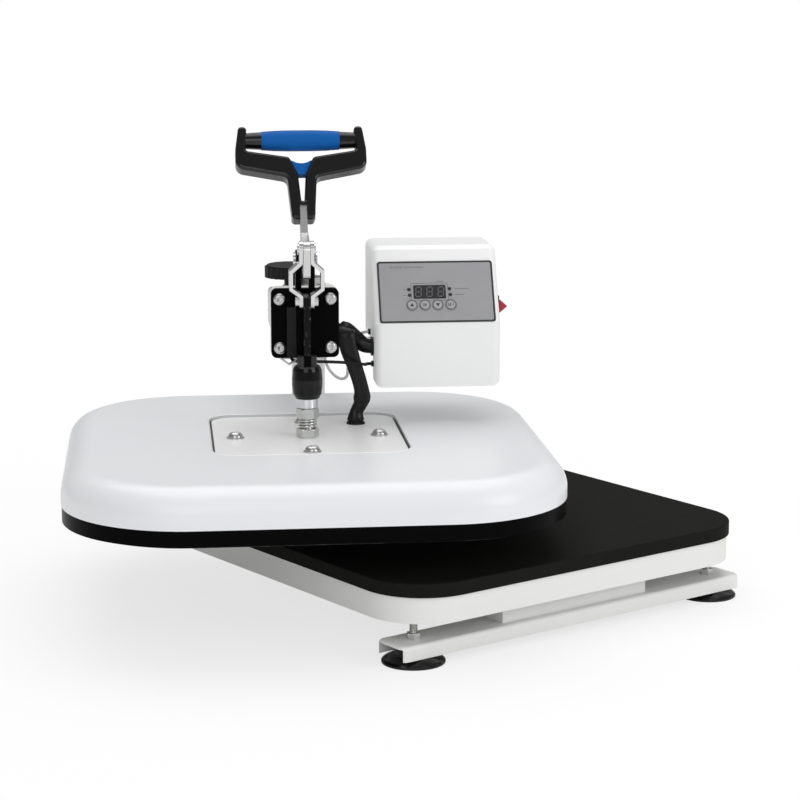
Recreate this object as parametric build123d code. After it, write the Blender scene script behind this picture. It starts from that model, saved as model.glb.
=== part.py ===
# Swing-away heat press, modelled in millimetres as separate pieces on one frame.
# The origin is the centre of the pressing pad's top face, +X is the user's right,
# -Y is the user's side and +Z is up. Heights below are measured from the floor.

from build123d import *
import math
import os

# Lower platen and its base
PAD_SIZE = 380.0
PAD_CORNER = 54.0
PAD_THICK = 11.5
PAD_TOP = 69.0
TRAY_INSET = 2.0
TRAY_DEPTH = 21.9
SHEET = 2.0
RAIL_LENGTH = 374.0
RAIL_BEND = 3.0
RAIL_END_CORNER = 7.0
RAIL_WIDTH = 36.0
RAIL_TOP = 18.9
RAIL_HEIGHT = 12.2
FRONT_FOOT_X = 162.5
REAR_RAIL_LENGTH = 260.0
REAR_FOOT_X = 110.0
FRONT_FOOT_Y = -159.5
REAR_FOOT_Y = 285.0
FOOT_RADIUS = 25.9
FOOT_RIM = 1.6
BEAM_WIDTH = 158.0
BEAM_FRONT = -170.0
BEAM_BACK = 301.0
RIB_LENGTH = 300.0
RIB_WIDTH = 40.0
RIB_OFFSET = 100.0
STUD_RADIUS = 3.0
STUD_NUT = 10.0
STUD_NUT_HEIGHT = 5.0
BOLT_FIT = 0.3

# Post and swing bearing
POST_X = 17.1
POST_Y = 246.7
POST_RADIUS = 16.0
POST_TOP = 199.0
POST_PLATE = 84.0
POST_PLATE_THICK = 6.0
SPINDLE_RADIUS = 10.0
SPINDLE_DEPTH = 80.0
RUN_FIT = 0.05
DISC_RADIUS = 31.0
DISC_THICK = 6.0
BUSH_WALL = 3.0
BUSH_LENGTH = 12.0
BUSH_FLANGE = 1.2
SWING_ANGLE = 30.8

# Swing arm, seen with the arm over the pad
ARM_HEIGHT = 36.0
ARM_WIDTH = 44.0
ARM_WALL = 3.0
HUB_RADIUS = 24.0
HEAD_PLATE_THICK = 12.0
KNOB_X = -1.0
KNOB_Y = 230.0
KNOB_RADIUS = 24.0
KNOB_NECK = 5.5
KNOB_BOTTOM = 253.0
KNOB_THICK = 12.0
KNOB_FLUTES = 24
KNOB_CAP = 1.5
BRACKET_Y = 109.0
BRACKET_LENGTH = 30.0
BRACKET_THICK = 5.0
BRACKET_REACH = 57.0
SCREW_RADIUS = 4.0

# Upper platen
COVER_SIZE = 418.0
COVER_CORNER = 107.0
COVER_HEIGHT = 31.4
COVER_FILLET = 23.0
BAND_HEIGHT = 13.3
BAND_INSET = 0.5
BAND_THICK = 2.0
BLANKET_INSET = 21.0
BLANKET_THICK = 10.0
BLANKET_LIFT = 7.2
ELEMENT_INSET = 59.0
ELEMENT_BOLT_GAP = 12.5
ELEMENT_RADIUS = 3.4
ELEMENT_BEND_SHARE = 0.45
PLATE_GAP = 30.5
HEATER_INSET = 7.5
HEATER_THICK = 13.8
HEATER_PROUD = 2.5
OPENING_WIDTH = 168.0
OPENING_DEPTH = 173.0
OPENING_CORNER = 22.0
OPENING_SHIFT = 6.5
ACCESS_GAP = 2.5
ACCESS_RECESS = 2.0
ACCESS_THICK = 4.0
LEDGE = 8.0
BOLT_CIRCLE = 62.5
DOME_RADIUS = 7.0
GROMMET_X = 46.5
GROMMET_Y = 53.0

# Plunger and toggle clamp
PLUNGER_RADIUS = 8.85
PLUNGER_BOTTOM = 170.1
PLUNGER_STUD_RADIUS = 5.0
NUT_FLATS = 17.0
LOWER_NUT_TOP = 152.3
UPPER_NUT_BOTTOM = 161.3
SPRING_RADIUS = 7.2
SPRING_WIRE = 0.9
SPRING_TURNS = 3
BARREL_RADIUS = 13.35
BARREL_BOTTOM = 178.9
CLAMP_BOTTOM = 210.4
COLLAR_DROP = 3.0
COLLAR_RISE = 5.6
COLLAR_FRONT = -8.0
GUIDE_TOP = 254.3
FLANGE_WIDTH = 59.0
FLANGE_HEIGHT = 60.8
FLANGE_THICK = 6.0
FLANGE_FACE = 22.0
FLANGE_CORNER = 5.0
CLAMP_SCREW_X = 22.0
CLAMP_SCREW_INSET = 9.1
CLAMP_SCREW_HEAD = 5.5
GUIDE_WIDTH = 16.2
TONGUE_THICK = 6.0
SLIDE_FIT = 0.1
LINK_PIN_Z = 263.0
LINK_PIN_RADIUS = 2.5
FULCRUM_Y = 16.0
FULCRUM_Z = 298.0
FULCRUM_RADIUS = 4.0
CRANK = 21.4
CRANK_LEAD = 60.0
LINK_THICK = 3.0
LINK_FLARE = 15.0

# Handle, measured up from the fulcrum along its own leaning axis
HANDLE_LEAN = 30.0
HANDLE_DEPTH = 16.0
NECK_BOTTOM = 34.5
NECK_TOP = 74.6
NECK_HALF = 9.9
SLIT_BOTTOM = 52.0
SHANK_TOP = 47.5
RIVET_LEVELS = (38.2, 43.4)
HANDLE_ROUND = 3.0
SLIT_TOP = 78.0
WEB_TOP = 91.2
ARM_HALF = 57.3
ARM_LOW = 83.4
ARM_HIGH = 100.0
PRONG_TOP = 123.0
PRONG_BEND = 101.8
PRONG_TOP_HALF = 54.3
PRONG_THICK = 7.4
GRIP_LEVEL = 112.0
GRIP_RADIUS = 9.2
GRIP_CORE = 6.0
SLEEVE_HALF = 34.2

# Control box on the arm's right
BOX_LEFT = 62.8
BOX_RIGHT = 175.2
BOX_EDGE = 7.0
BOX_FRONT = 42.0
BOX_BOTTOM = 178.5
BOX_TOP = 300.0
BOX_BACK = 140.0
PANEL_BOTTOM = 235.9
PANEL_TOP = 286.9
PANEL_RUN = 31.0
STEP_Y = 67.0
STEP_Z = 212.0
BOX_WALL = 2.5
LABEL_WIDTH = 103.6
LABEL_MARGIN = 0.4
LABEL_THICK = 0.8
WINDOW_LEFT = -20.3
WINDOW_RIGHT = 8.4
WINDOW_LOW = 23.2
WINDOW_HIGH = 36.0
BUTTON_XS = (-22.3, -10.8, 0.7, 12.4)
BUTTON_NAMES = ("button_up", "button_ok", "button_down", "button_set")
BUTTON_LEVEL = 16.9
BUTTON_RADIUS = 4.5
BUTTON_PROUD = 1.0
LED_SPOTS = ((-24.3, 32.1), (-23.9, 26.6), (12.0, 32.4), (12.5, 26.8))
LED_RADIUS = 1.5
BOARD_DEPTH = 9.0
BOARD_THICK = 1.6
ROCKER_Y = 80.0
ROCKER_Z = 245.2
ROCKER_HALF = 6.4
ROCKER_REACH = 10.2
BEZEL_PROUD = 2.2

# Leads, as points in the arm's own frame
SLEEVE_RADIUS = 6.0
SLEEVE_ROUTE = (
    (62.8, 60.0, 213.0),
    (55.5, 60.0, 213.0),
    (49.5, 61.2, 218.4),
    (38.2, 62.0, 229.3),
    (37.0, 48.5, 229.3),
    (39.2, 47.4, 215.5),
    (42.2, 47.4, 206.5),
    (45.2, 47.5, 197.5),
    (49.6, 48.0, 184.0),
    (52.3, 49.2, 172.0),
    (51.2, 50.6, 163.5),
    (47.6, 52.6, 156.6),
    (GROMMET_X, GROMMET_Y, 151.5),
    (GROMMET_X, GROMMET_Y, 148.3),
)
THIN_RADIUS = 1.3
SWITCH_ROUTE = (
    (-12.5, 18.5, 212.35),
    (-12.5, 18.5, 208.9),
    (-6.5, 19.2, 207.6),
    (3.0, 20.5, 207.2),
    (15.0, 24.0, 206.2),
    (27.0, 29.5, 204.7),
    (38.0, 34.8, 203.0),
    (47.5, 38.2, 201.3),
    (54.6, 43.5, 199.5),
    (55.8, 50.0, 198.3),
    (55.6, 56.0, 198.0),
    (60.8, 56.0, 198.0),
)
EARTH_TAB = (21.0, 31.5, 192.0, 204.0)
EARTH_TAB_THICK = 2.5
EARTH_X = 28.0
EARTH_Y = 198.0
EARTH_ROUTE = (
    (EARTH_X, EARTH_Y, 206.6),
    (28.2, 198.0, 196.0),
    (28.6, 197.0, 181.0),
    (33.0, 190.0, 168.0),
    (41.5, 170.0, 163.0),
    (47.0, 146.0, 169.0),
    (45.5, 122.0, 185.0),
    (45.0, 101.0, 200.0),
    (48.0, 91.0, 213.5),
    (55.0, 86.0, 222.0),
    (60.8, 86.0, 222.0),
)
GLAND_REACH = 2.0

TRAY_TOP = PAD_TOP - PAD_THICK
TRAY_BOTTOM = TRAY_TOP - TRAY_DEPTH
RAIL_BOTTOM = RAIL_TOP - RAIL_HEIGHT
DISC_TOP = POST_TOP + DISC_THICK
ARM_BOTTOM = DISC_TOP + BUSH_FLANGE + RUN_FIT
ARM_TOP = ARM_BOTTOM + ARM_HEIGHT
SPINDLE_TOP = ARM_TOP + BUSH_FLANGE + RUN_FIT
SPINDLE_BASE = POST_TOP - SPINDLE_DEPTH
HEATER_BOTTOM = PAD_TOP + PLATE_GAP
BAND_BOTTOM = HEATER_BOTTOM + HEATER_PROUD
COVER_BOTTOM = BAND_BOTTOM + BAND_HEIGHT
COVER_TOP = COVER_BOTTOM + COVER_HEIGHT
ACCESS_TOP = COVER_TOP - ACCESS_RECESS
ACCESS_BOTTOM = ACCESS_TOP - ACCESS_THICK
FLANGE_TOP = CLAMP_BOTTOM + FLANGE_HEIGHT
COLLAR_BOTTOM = CLAMP_BOTTOM - COLLAR_DROP
FLANGE_BACK = FLANGE_FACE + FLANGE_THICK
CRANK_Y = FULCRUM_Y - CRANK * math.sin(math.radians(CRANK_LEAD))
CRANK_Z = FULCRUM_Z + CRANK * math.cos(math.radians(CRANK_LEAD))
PLATE_INSIDE = TONGUE_THICK / 2 + 0.4
TO_ORIGIN = Pos(0, 0, -PAD_TOP)
TO_SWUNG = Pos(POST_X, POST_Y, 0) * Rot(0, 0, -SWING_ANGLE) * Pos(-POST_X, -POST_Y, 0)
BIG = 400.0


def slab(width, depth, corner, low, high, x=0.0, y=0.0):
    """A plate with rounded corners in plan, between two heights."""
    outline = RectangleRounded(width, depth, corner)
    return Pos(x, y, low) * extrude(outline, amount=high - low)


def block(x_low, x_high, y_low, y_high, low, high):
    """A box given by its limits."""
    centre = Pos((x_low + x_high) / 2, (y_low + y_high) / 2, (low + high) / 2)
    return centre * Box(x_high - x_low, y_high - y_low, high - low)


def rod(radius, low, high, x=0.0, y=0.0):
    """An upright round bar."""
    return Pos(x, y, (low + high) / 2) * Cylinder(radius, high - low)


def rod_x(radius, x_low, x_high, y, z):
    """A round bar along X."""
    return Pos((x_low + x_high) / 2, y, z) * Rot(0, 90, 0) * Cylinder(radius, x_high - x_low)


def rod_y(radius, y_low, y_high, x, z):
    """A round bar along Y."""
    return Pos(x, (y_low + y_high) / 2, z) * Rot(90, 0, 0) * Cylinder(radius, y_high - y_low)


def hexagon(flats, low, high, x=0.0, y=0.0):
    """A hexagonal nut body without its bore."""
    outline = RegularPolygon(flats / math.sqrt(3), 6)
    return Pos(x, y, low) * extrude(outline, amount=high - low)


def turned(points, x=0.0, y=0.0):
    """A body turned about an upright axis from radius and height pairs."""
    line = Polyline(*[(r, 0, z) for r, z in points], close=True)
    return Pos(x, y, 0) * revolve(make_face(line), axis=Axis.Z)


def side_plate(points, x_low, x_high):
    """A plate whose outline is given in Y and Z, between two X values."""
    outline = make_face(Polyline(*[(y, z) for y, z in points], close=True))
    return Plane.YZ.offset(x_low) * extrude(outline, amount=x_high - x_low)


def front_plate(points, y_low, y_high):
    """A plate whose outline is given in X and Z, between two Y values."""
    outline = make_face(Polyline(*[(x, z) for x, z in points], close=True))
    return Plane.XZ.offset(-y_high) * extrude(outline, amount=y_high - y_low)


def tube_along(route, radius, label):
    """A round lead of straight runs joined by arcs as large as the runs allow."""
    points = [Vector(*p) for p in route]
    radii = []
    for before, at, after in zip(points, points[1:], points[2:]):
        turn = math.radians((at - before).get_angle(after - at))
        shorter = min((at - before).length, (after - at).length)
        radii.append(0.45 * shorter / math.tan(turn / 2))
    path = FilletPolyline(*points, radius=radii)
    start = path @ 0
    section = Plane(origin=start, z_dir=path % 0) * Circle(radius)
    tube = sweep(section, path=path)
    share = tube.volume / (math.pi * radius**2 * path.length)
    print(label, "bend radii", [round(r, 1) for r in radii], "volume share", round(share, 4))
    return tube


def save(name, solids, swung=False):
    """Places one sub-part in the finished frame and writes its file."""
    place = TO_ORIGIN * TO_SWUNG if swung else TO_ORIGIN
    placed = []
    for solid in solids:
        placed.extend((place * solid).solids())
    export_step(Compound(label=name, children=placed), f"parts/{name}.step")


def feet_centres():
    """The four foot centres."""
    front = [(x, FRONT_FOOT_Y) for x in (-FRONT_FOOT_X, FRONT_FOOT_X)]
    return front + [(x, REAR_FOOT_Y) for x in (-REAR_FOOT_X, REAR_FOOT_X)]


def cross_rail(length, y, foot_x):
    """A folded channel, open underneath and at both ends."""
    rail = slab(length, RAIL_WIDTH, RAIL_END_CORNER, RAIL_BOTTOM, RAIL_TOP, y=y)
    rail = fillet(rail.edges().group_by(Axis.Z)[-1], RAIL_BEND)
    half = RAIL_WIDTH / 2 - SHEET
    inside = block(-length, length, y - half, y + half, 0, RAIL_TOP - SHEET)
    rail -= fillet(inside.edges().filter_by(Axis.X).group_by(Axis.Z)[-1], RAIL_BEND - SHEET)
    for side in (-1, 1):
        rail -= rod(STUD_RADIUS + BOLT_FIT, 0, BIG, side * foot_x, y)
    return rail


def rail_bolt_spots():
    """Where the beam is bolted to the two rails."""
    x = BEAM_WIDTH / 2 - 20
    return [(sx * x, y) for sx in (-1, 1) for y in (FRONT_FOOT_Y + 3, REAR_FOOT_Y)]


def post_bolt_spots():
    """The four bolts through the post's foot plate."""
    reach = POST_PLATE / 2 - 10
    spots = [(POST_X + sx * reach, POST_Y + sy * reach) for sx in (-1, 1) for sy in (-1, 1)]
    return spots


def frame_bolt(x, y, low, high):
    """A button-head bolt through from its head's seat down to its nut."""
    bolt = rod(3.0, low - 6, high, x, y) + hexagon(10.0, low - 5, low, x, y)
    head = turned([(0, high), (6, high), (5, high + 3), (0, high + 3.6)], x, y)
    return bolt + head


def build_base():
    """Rails, feet, centre beam, tray, pad and the bolts that join them."""
    front = cross_rail(RAIL_LENGTH, FRONT_FOOT_Y, FRONT_FOOT_X)
    rear = cross_rail(REAR_RAIL_LENGTH, REAR_FOOT_Y, REAR_FOOT_X)
    half = BEAM_WIDTH / 2
    beam = block(-half, half, BEAM_FRONT, BEAM_BACK, RAIL_TOP, TRAY_BOTTOM)
    beam -= block(
        SHEET - half, half - SHEET, BEAM_FRONT + SHEET, BEAM_BACK - SHEET, 0, TRAY_BOTTOM - SHEET
    )
    ribs = []
    for side in (-1, 1):
        rib = slab(RIB_LENGTH, RIB_WIDTH, 4.0, TRAY_BOTTOM, TRAY_TOP - SHEET, y=side * RIB_OFFSET)
        inner = RIB_WIDTH / 2 - SHEET
        rib -= block(
            -BIG, BIG, side * RIB_OFFSET - inner, side * RIB_OFFSET + inner,
            0, TRAY_TOP - 2 * SHEET,
        )
        ribs.append(rib)
    tray_size = PAD_SIZE - 2 * TRAY_INSET
    tray_corner = PAD_CORNER - TRAY_INSET
    tray = slab(tray_size, tray_size, tray_corner, TRAY_BOTTOM, TRAY_TOP)
    inside = tray_size - 2 * SHEET
    tray -= slab(inside, inside, tray_corner - SHEET, 0, TRAY_TOP - SHEET)
    pad = slab(PAD_SIZE, PAD_SIZE, PAD_CORNER, TRAY_TOP, PAD_TOP)
    pad = fillet(pad.edges().group_by(Axis.Z)[-1], 1.2)
    bolts = []
    for x, y in rail_bolt_spots():
        hole = rod(3.0 + BOLT_FIT, 0, BIG, x, y)
        front -= hole
        rear -= hole
        bolts.append(rod(3.0, RAIL_TOP - SHEET - 6, RAIL_TOP + 5, x, y)
                     + hexagon(10.0, RAIL_TOP, RAIL_TOP + 5, x, y)
                     + rod(5.5, RAIL_TOP - SHEET - 3, RAIL_TOP - SHEET, x, y))
    for x, y in post_bolt_spots():
        beam -= rod(3.0 + BOLT_FIT, 0, BIG, x, y)
        bolts.append(frame_bolt(x, y, TRAY_BOTTOM - SHEET, TRAY_BOTTOM + POST_PLATE_THICK))
    feet = []
    studs = []
    stem = RAIL_TOP - SHEET
    flange_in = RAIL_WIDTH / 2 - SHEET
    for x, y in feet_centres():
        foot = turned(
            [(0, 2.6), (20, 0.3), (22, 0), (FOOT_RADIUS, 0), (FOOT_RADIUS, FOOT_RIM),
             (FOOT_RADIUS - 1.9, FOOT_RIM + 1.7), (18.3, RAIL_BOTTOM - 0.5), (flange_in - 0.4, RAIL_BOTTOM - 0.3),
             (flange_in - 2.8, RAIL_BOTTOM + 5.4), (11.0, stem - 1.2), (11.0, stem), (0, stem)], x, y)
        foot -= rod(STUD_RADIUS, 7.0, BIG, x, y)
        top = RAIL_TOP + 14 if y > 0 else TRAY_TOP - SHEET
        stud = rod(STUD_RADIUS, 7.0, top, x, y)
        stud += hexagon(STUD_NUT, RAIL_TOP, RAIL_TOP + STUD_NUT_HEIGHT, x, y)
        feet.append(foot)
        studs.append(stud)
    save("front_rail", [front])
    save("rear_rail", [rear])
    save("centre_beam", [beam])
    save("tray_ribs", ribs)
    save("lower_tray", [tray])
    save("pressing_pad", [pad])
    save("suction_feet", feet)
    save("foot_studs", studs)
    save("frame_bolts", bolts)


def build_post():
    """Post with its foot plate and gussets, spindle and brake disc."""
    plate_top = TRAY_BOTTOM + POST_PLATE_THICK
    post = slab(POST_PLATE, POST_PLATE, 6.0, TRAY_BOTTOM, plate_top, POST_X, POST_Y)
    post += rod(POST_RADIUS, plate_top, POST_TOP, POST_X, POST_Y)
    reach = POST_PLATE / 2 - 18
    gusset = side_plate([(2 - POST_RADIUS, plate_top), (-POST_RADIUS - reach + 10, plate_top),
                         (-POST_RADIUS, plate_top + 40), (2 - POST_RADIUS, plate_top + 40)], -2.0, 2.0)
    for turn in (0, 90, 180, 270):
        post += Pos(POST_X, POST_Y, 0) * Rot(0, 0, turn) * gusset
    post -= rod(SPINDLE_RADIUS + RUN_FIT, SPINDLE_BASE, BIG, POST_X, POST_Y)
    for x, y in post_bolt_spots():
        post -= rod(3.0 + BOLT_FIT, 0, BIG, x, y)
    spindle = rod(SPINDLE_RADIUS, SPINDLE_BASE, SPINDLE_TOP + 8.0, POST_X, POST_Y)
    spindle += rod(SPINDLE_RADIUS + BUSH_WALL + 1, SPINDLE_TOP, SPINDLE_TOP + 1.6, POST_X, POST_Y)
    spindle += hexagon(26.0, SPINDLE_TOP + 1.6, SPINDLE_TOP + 7.0, POST_X, POST_Y)
    disc = rod(DISC_RADIUS, POST_TOP, DISC_TOP, POST_X, POST_Y)
    disc -= rod(SPINDLE_RADIUS + RUN_FIT, 0, BIG, POST_X, POST_Y)
    disc = chamfer(disc.edges().filter_by(GeomType.CIRCLE).group_by(SortBy.RADIUS)[-1], 0.8)
    save("post", [post])
    save("swing_spindle", [spindle])
    save("brake_disc", [disc])


def bush(low, flange_low):
    """One flanged bush of the swing bearing."""
    body = rod(SPINDLE_RADIUS + BUSH_WALL, low, low + BUSH_LENGTH, POST_X, POST_Y)
    body += rod(SPINDLE_RADIUS + BUSH_WALL + 4, flange_low, flange_low + BUSH_FLANGE, POST_X, POST_Y)
    return body - rod(SPINDLE_RADIUS + RUN_FIT, 0, BIG, POST_X, POST_Y)


def build_arm():
    """Arm with its hub and head plate, bushes, brake knob and box bracket."""
    half = ARM_WIDTH / 2
    beam = block(-half, half, FLANGE_BACK + HEAD_PLATE_THICK, POST_Y - 8, ARM_BOTTOM, ARM_TOP)
    beam = fillet(beam.edges().filter_by(Axis.Y), 4.0)
    beam -= block(
        ARM_WALL - half, half - ARM_WALL, FLANGE_BACK + HEAD_PLATE_THICK, KNOB_Y - 20,
        ARM_BOTTOM + ARM_WALL, ARM_TOP - ARM_WALL,
    )
    hub = rod(HUB_RADIUS, ARM_BOTTOM, ARM_TOP, POST_X, POST_Y)
    boss = rod(16.0, ARM_BOTTOM, ARM_TOP, KNOB_X, KNOB_Y)
    plate = slab(FLANGE_WIDTH, FLANGE_HEIGHT, FLANGE_CORNER, 0, HEAD_PLATE_THICK)
    plate = Pos(0, FLANGE_BACK + HEAD_PLATE_THICK, CLAMP_BOTTOM + FLANGE_HEIGHT / 2) * Rot(90, 0, 0) * plate
    back = FLANGE_BACK + HEAD_PLATE_THICK
    web = side_plate([(back, ARM_TOP - 1), (back + 60, ARM_TOP - 1), (back, FLANGE_TOP - 3)], -3.0, 3.0)
    tab_low = ARM_BOTTOM + 1.0
    tab = block(*EARTH_TAB, tab_low, tab_low + EARTH_TAB_THICK)
    arm = beam + hub + boss + plate + web + tab
    arm -= rod(SPINDLE_RADIUS + BUSH_WALL, 0, BIG, POST_X, POST_Y)
    arm -= rod(SCREW_RADIUS + RUN_FIT, 0, BIG, KNOB_X, KNOB_Y)
    for x, z in clamp_screw_spots():
        arm -= rod_y(3.0, FLANGE_FACE, FLANGE_BACK + 9, x, z)
    bushes = [bush(ARM_BOTTOM, ARM_BOTTOM - BUSH_FLANGE), bush(ARM_TOP - BUSH_LENGTH, ARM_TOP)]
    flutes = rod(KNOB_RADIUS, KNOB_BOTTOM, KNOB_BOTTOM + KNOB_THICK - KNOB_CAP, KNOB_X, KNOB_Y)
    for i in range(KNOB_FLUTES):
        turn = 2 * math.pi * i / KNOB_FLUTES
        x = KNOB_X + (KNOB_RADIUS + 0.9) * math.cos(turn)
        y = KNOB_Y + (KNOB_RADIUS + 0.9) * math.sin(turn)
        flutes -= rod(2.0, 0, BIG, x, y)
    knob = flutes + rod(KNOB_NECK, ARM_TOP + 3.0, KNOB_BOTTOM, KNOB_X, KNOB_Y)
    knob -= rod(SCREW_RADIUS, 0, KNOB_BOTTOM + 6, KNOB_X, KNOB_Y)
    cap_top = KNOB_BOTTOM + KNOB_THICK
    cap = turned([(0, cap_top - KNOB_CAP), (KNOB_RADIUS - 1.6, cap_top - KNOB_CAP),
                  (KNOB_RADIUS - 1.6, cap_top - 0.7), (KNOB_RADIUS - 2.6, cap_top), (0, cap_top)],
                 KNOB_X, KNOB_Y)
    screw = rod(SCREW_RADIUS, DISC_TOP + 0.4, KNOB_BOTTOM + 6, KNOB_X, KNOB_Y)
    screw = chamfer(screw.edges().group_by(Axis.Z)[0], 1.0)
    front = BRACKET_Y - BRACKET_LENGTH / 2
    bracket = block(half, half + 4, front, front + BRACKET_LENGTH, STEP_Z - BRACKET_THICK, ARM_TOP - 6)
    bracket += block(half, BOX_LEFT + BRACKET_REACH, front + 5, front + BRACKET_LENGTH - 5,
                     STEP_Z - BRACKET_THICK, STEP_Z)
    save("swing_arm", [arm], True)
    save("arm_bushes", bushes, True)
    save("brake_knob", [knob], True)
    save("knob_cap", [cap], True)
    save("brake_screw", [screw], True)
    save("box_bracket", [bracket], True)


def clamp_screw_spots():
    """The four screws of the clamp's flange."""
    low = CLAMP_BOTTOM + CLAMP_SCREW_INSET
    high = FLANGE_TOP - CLAMP_SCREW_INSET
    return [(x, z) for x in (-CLAMP_SCREW_X, CLAMP_SCREW_X) for z in (low, high)]


def build_clamp():
    """Black clamp body with its guide and fork, barrel, screws and fulcrum pin."""
    flange = slab(FLANGE_WIDTH, FLANGE_HEIGHT, FLANGE_CORNER, 0, FLANGE_THICK)
    body = Pos(0, FLANGE_BACK, CLAMP_BOTTOM + FLANGE_HEIGHT / 2) * Rot(90, 0, 0) * flange
    wall_in = TONGUE_THICK / 2 + SLIDE_FIT
    wall_out = GUIDE_WIDTH / 2
    for side in (-1, 1):
        low, high = sorted((side * wall_in, side * wall_out))
        body += block(low, high, 10.0, FLANGE_BACK, CLAMP_BOTTOM, GUIDE_TOP)
        lug_low, lug_high = sorted((side * (wall_in + 0.2), side * (wall_out + 0.2)))
        lug = side_plate([(17.6, GUIDE_TOP - 6), (FLANGE_BACK, GUIDE_TOP - 6), (FLANGE_BACK, 286),
                          (23.5, FULCRUM_Z + 1), (17.6, FULCRUM_Z)], lug_low, lug_high)
        lug += rod_x(FULCRUM_RADIUS * 2, lug_low, lug_high, FULCRUM_Y, FULCRUM_Z)
        body += lug
    collar = block(-wall_out, wall_out, COLLAR_FRONT, FLANGE_FACE, CLAMP_BOTTOM, CLAMP_BOTTOM + COLLAR_RISE)
    collar += block(-wall_out, wall_out, COLLAR_FRONT, 12.0, COLLAR_BOTTOM, CLAMP_BOTTOM)
    collar = fillet(collar.edges().filter_by(Axis.Z).group_by(Axis.Y)[0], 3.0)
    body += collar
    body -= block(-wall_in, wall_in, COLLAR_FRONT + 1, 19.0, COLLAR_BOTTOM - 1, GUIDE_TOP + 1)
    body -= rod_x(FULCRUM_RADIUS, -20, 20, FULCRUM_Y, FULCRUM_Z)
    screws = []
    for x, z in clamp_screw_spots():
        body -= rod_y(3.0, FLANGE_FACE - 1, FLANGE_BACK + 1, x, z)
        head = turned([(1.9, 0), (CLAMP_SCREW_HEAD, 0), (CLAMP_SCREW_HEAD, 0.8),
                       (4.4, 2.6), (2.6, 3.3), (1.9, 3.3)])
        head = head + rod(3.0, -13.0, 0.6)
        screws.append(Pos(x, FLANGE_FACE, z) * Rot(90, 0, 0) * head)
    barrel = turned([(PLUNGER_RADIUS + RUN_FIT, BARREL_BOTTOM), (BARREL_RADIUS - 3.2, BARREL_BOTTOM),
                     (BARREL_RADIUS - 1.0, BARREL_BOTTOM + 4), (BARREL_RADIUS, BARREL_BOTTOM + 12),
                     (BARREL_RADIUS, BARREL_BOTTOM + 17), (BARREL_RADIUS - 0.7, COLLAR_BOTTOM - 4),
                     (BARREL_RADIUS - 1.8, COLLAR_BOTTOM - 1), (BARREL_RADIUS - 3.0, COLLAR_BOTTOM),
                     (PLUNGER_RADIUS + RUN_FIT, COLLAR_BOTTOM)])
    pin = rod_x(FULCRUM_RADIUS - RUN_FIT, -wall_out - 0.6, wall_out + 0.6, FULCRUM_Y, FULCRUM_Z)
    for side in (-1, 1):
        low, high = sorted((side * (wall_out + 0.25), side * (wall_out + 2.2)))
        pin += rod_x(FULCRUM_RADIUS + 1.6, low, high, FULCRUM_Y, FULCRUM_Z)
    switch = block(-16.4, -wall_out - 0.2, 13.2, FLANGE_FACE, CLAMP_BOTTOM + 2, GUIDE_TOP + 2)
    bend_x = -14.8
    lever = front_plate([(bend_x - 8.2, CLAMP_BOTTOM + 1.2), (bend_x, CLAMP_BOTTOM - 4.8),
                         (bend_x + 6.2, CLAMP_BOTTOM - 1.0), (bend_x + 5.6, CLAMP_BOTTOM),
                         (bend_x, CLAMP_BOTTOM - 3.4), (bend_x - 7.4, CLAMP_BOTTOM + 2.0)], 11.0, 16.0)
    save("clamp_body", [body], True)
    save("clamp_barrel", [barrel], True)
    save("clamp_screws", screws, True)
    save("fulcrum_pin", [pin], True)
    save("limit_switch", [switch], True)
    save("switch_lever", [lever], True)


def spring_path(low, high):
    """An open coil made of half turns, each one a tilted arc that starts level."""
    pitch = (high - low) / SPRING_TURNS
    arcs = []
    for half_turn in range(2 * SPRING_TURNS):
        side = 1 if half_turn % 2 == 0 else -1
        z = low + half_turn * pitch / 2
        arcs.append(ThreePointArc((side * SPRING_RADIUS, 0, z), (0, side * SPRING_RADIUS, z + pitch / 4),
                                  (-side * SPRING_RADIUS, 0, z + pitch / 2)))
    return Wire(arcs), pitch


def build_plunger():
    """Plunger with its tongue, the stud, its nuts and the spring between them."""
    rod_top = COLLAR_BOTTOM - 0.5
    plunger = rod(PLUNGER_RADIUS, PLUNGER_BOTTOM, rod_top)
    plunger = chamfer(plunger.edges().group_by(Axis.Z)[0], 1.0)
    half = TONGUE_THICK / 2
    plunger += block(-half, half, -6.0, 8.2, rod_top, LINK_PIN_Z + 5.5)
    plunger += block(-half, half, -6.0, 18.0, GUIDE_TOP - 6.5, LINK_PIN_Z + 5.5)
    plunger -= rod(PLUNGER_STUD_RADIUS, 0, PLUNGER_BOTTOM + 14)
    stud = rod(PLUNGER_STUD_RADIUS, ACCESS_BOTTOM - 9.0, PLUNGER_BOTTOM + 14)
    nuts = [hexagon(NUT_FLATS, ACCESS_TOP, LOWER_NUT_TOP), hexagon(NUT_FLATS, UPPER_NUT_BOTTOM, PLUNGER_BOTTOM),
            hexagon(NUT_FLATS, ACCESS_BOTTOM - 7.0, ACCESS_BOTTOM)]
    bore = rod(PLUNGER_STUD_RADIUS, 0, BIG)
    nuts = [chamfer_nut(nut) - bore for nut in nuts]
    low = LOWER_NUT_TOP + SPRING_WIRE + 0.05
    high = UPPER_NUT_BOTTOM - SPRING_WIRE - 0.05
    path, pitch = spring_path(low, high)
    section = Plane(origin=path @ 0, z_dir=path % 0) * Circle(SPRING_WIRE)
    spring = sweep(section, path=path)
    print("plunger spring, least gap between turns", round(pitch - 2 * SPRING_WIRE, 2))
    save("plunger", [plunger], True)
    save("plunger_nuts", nuts + [stud], True)
    save("plunger_spring", [spring], True)


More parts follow.
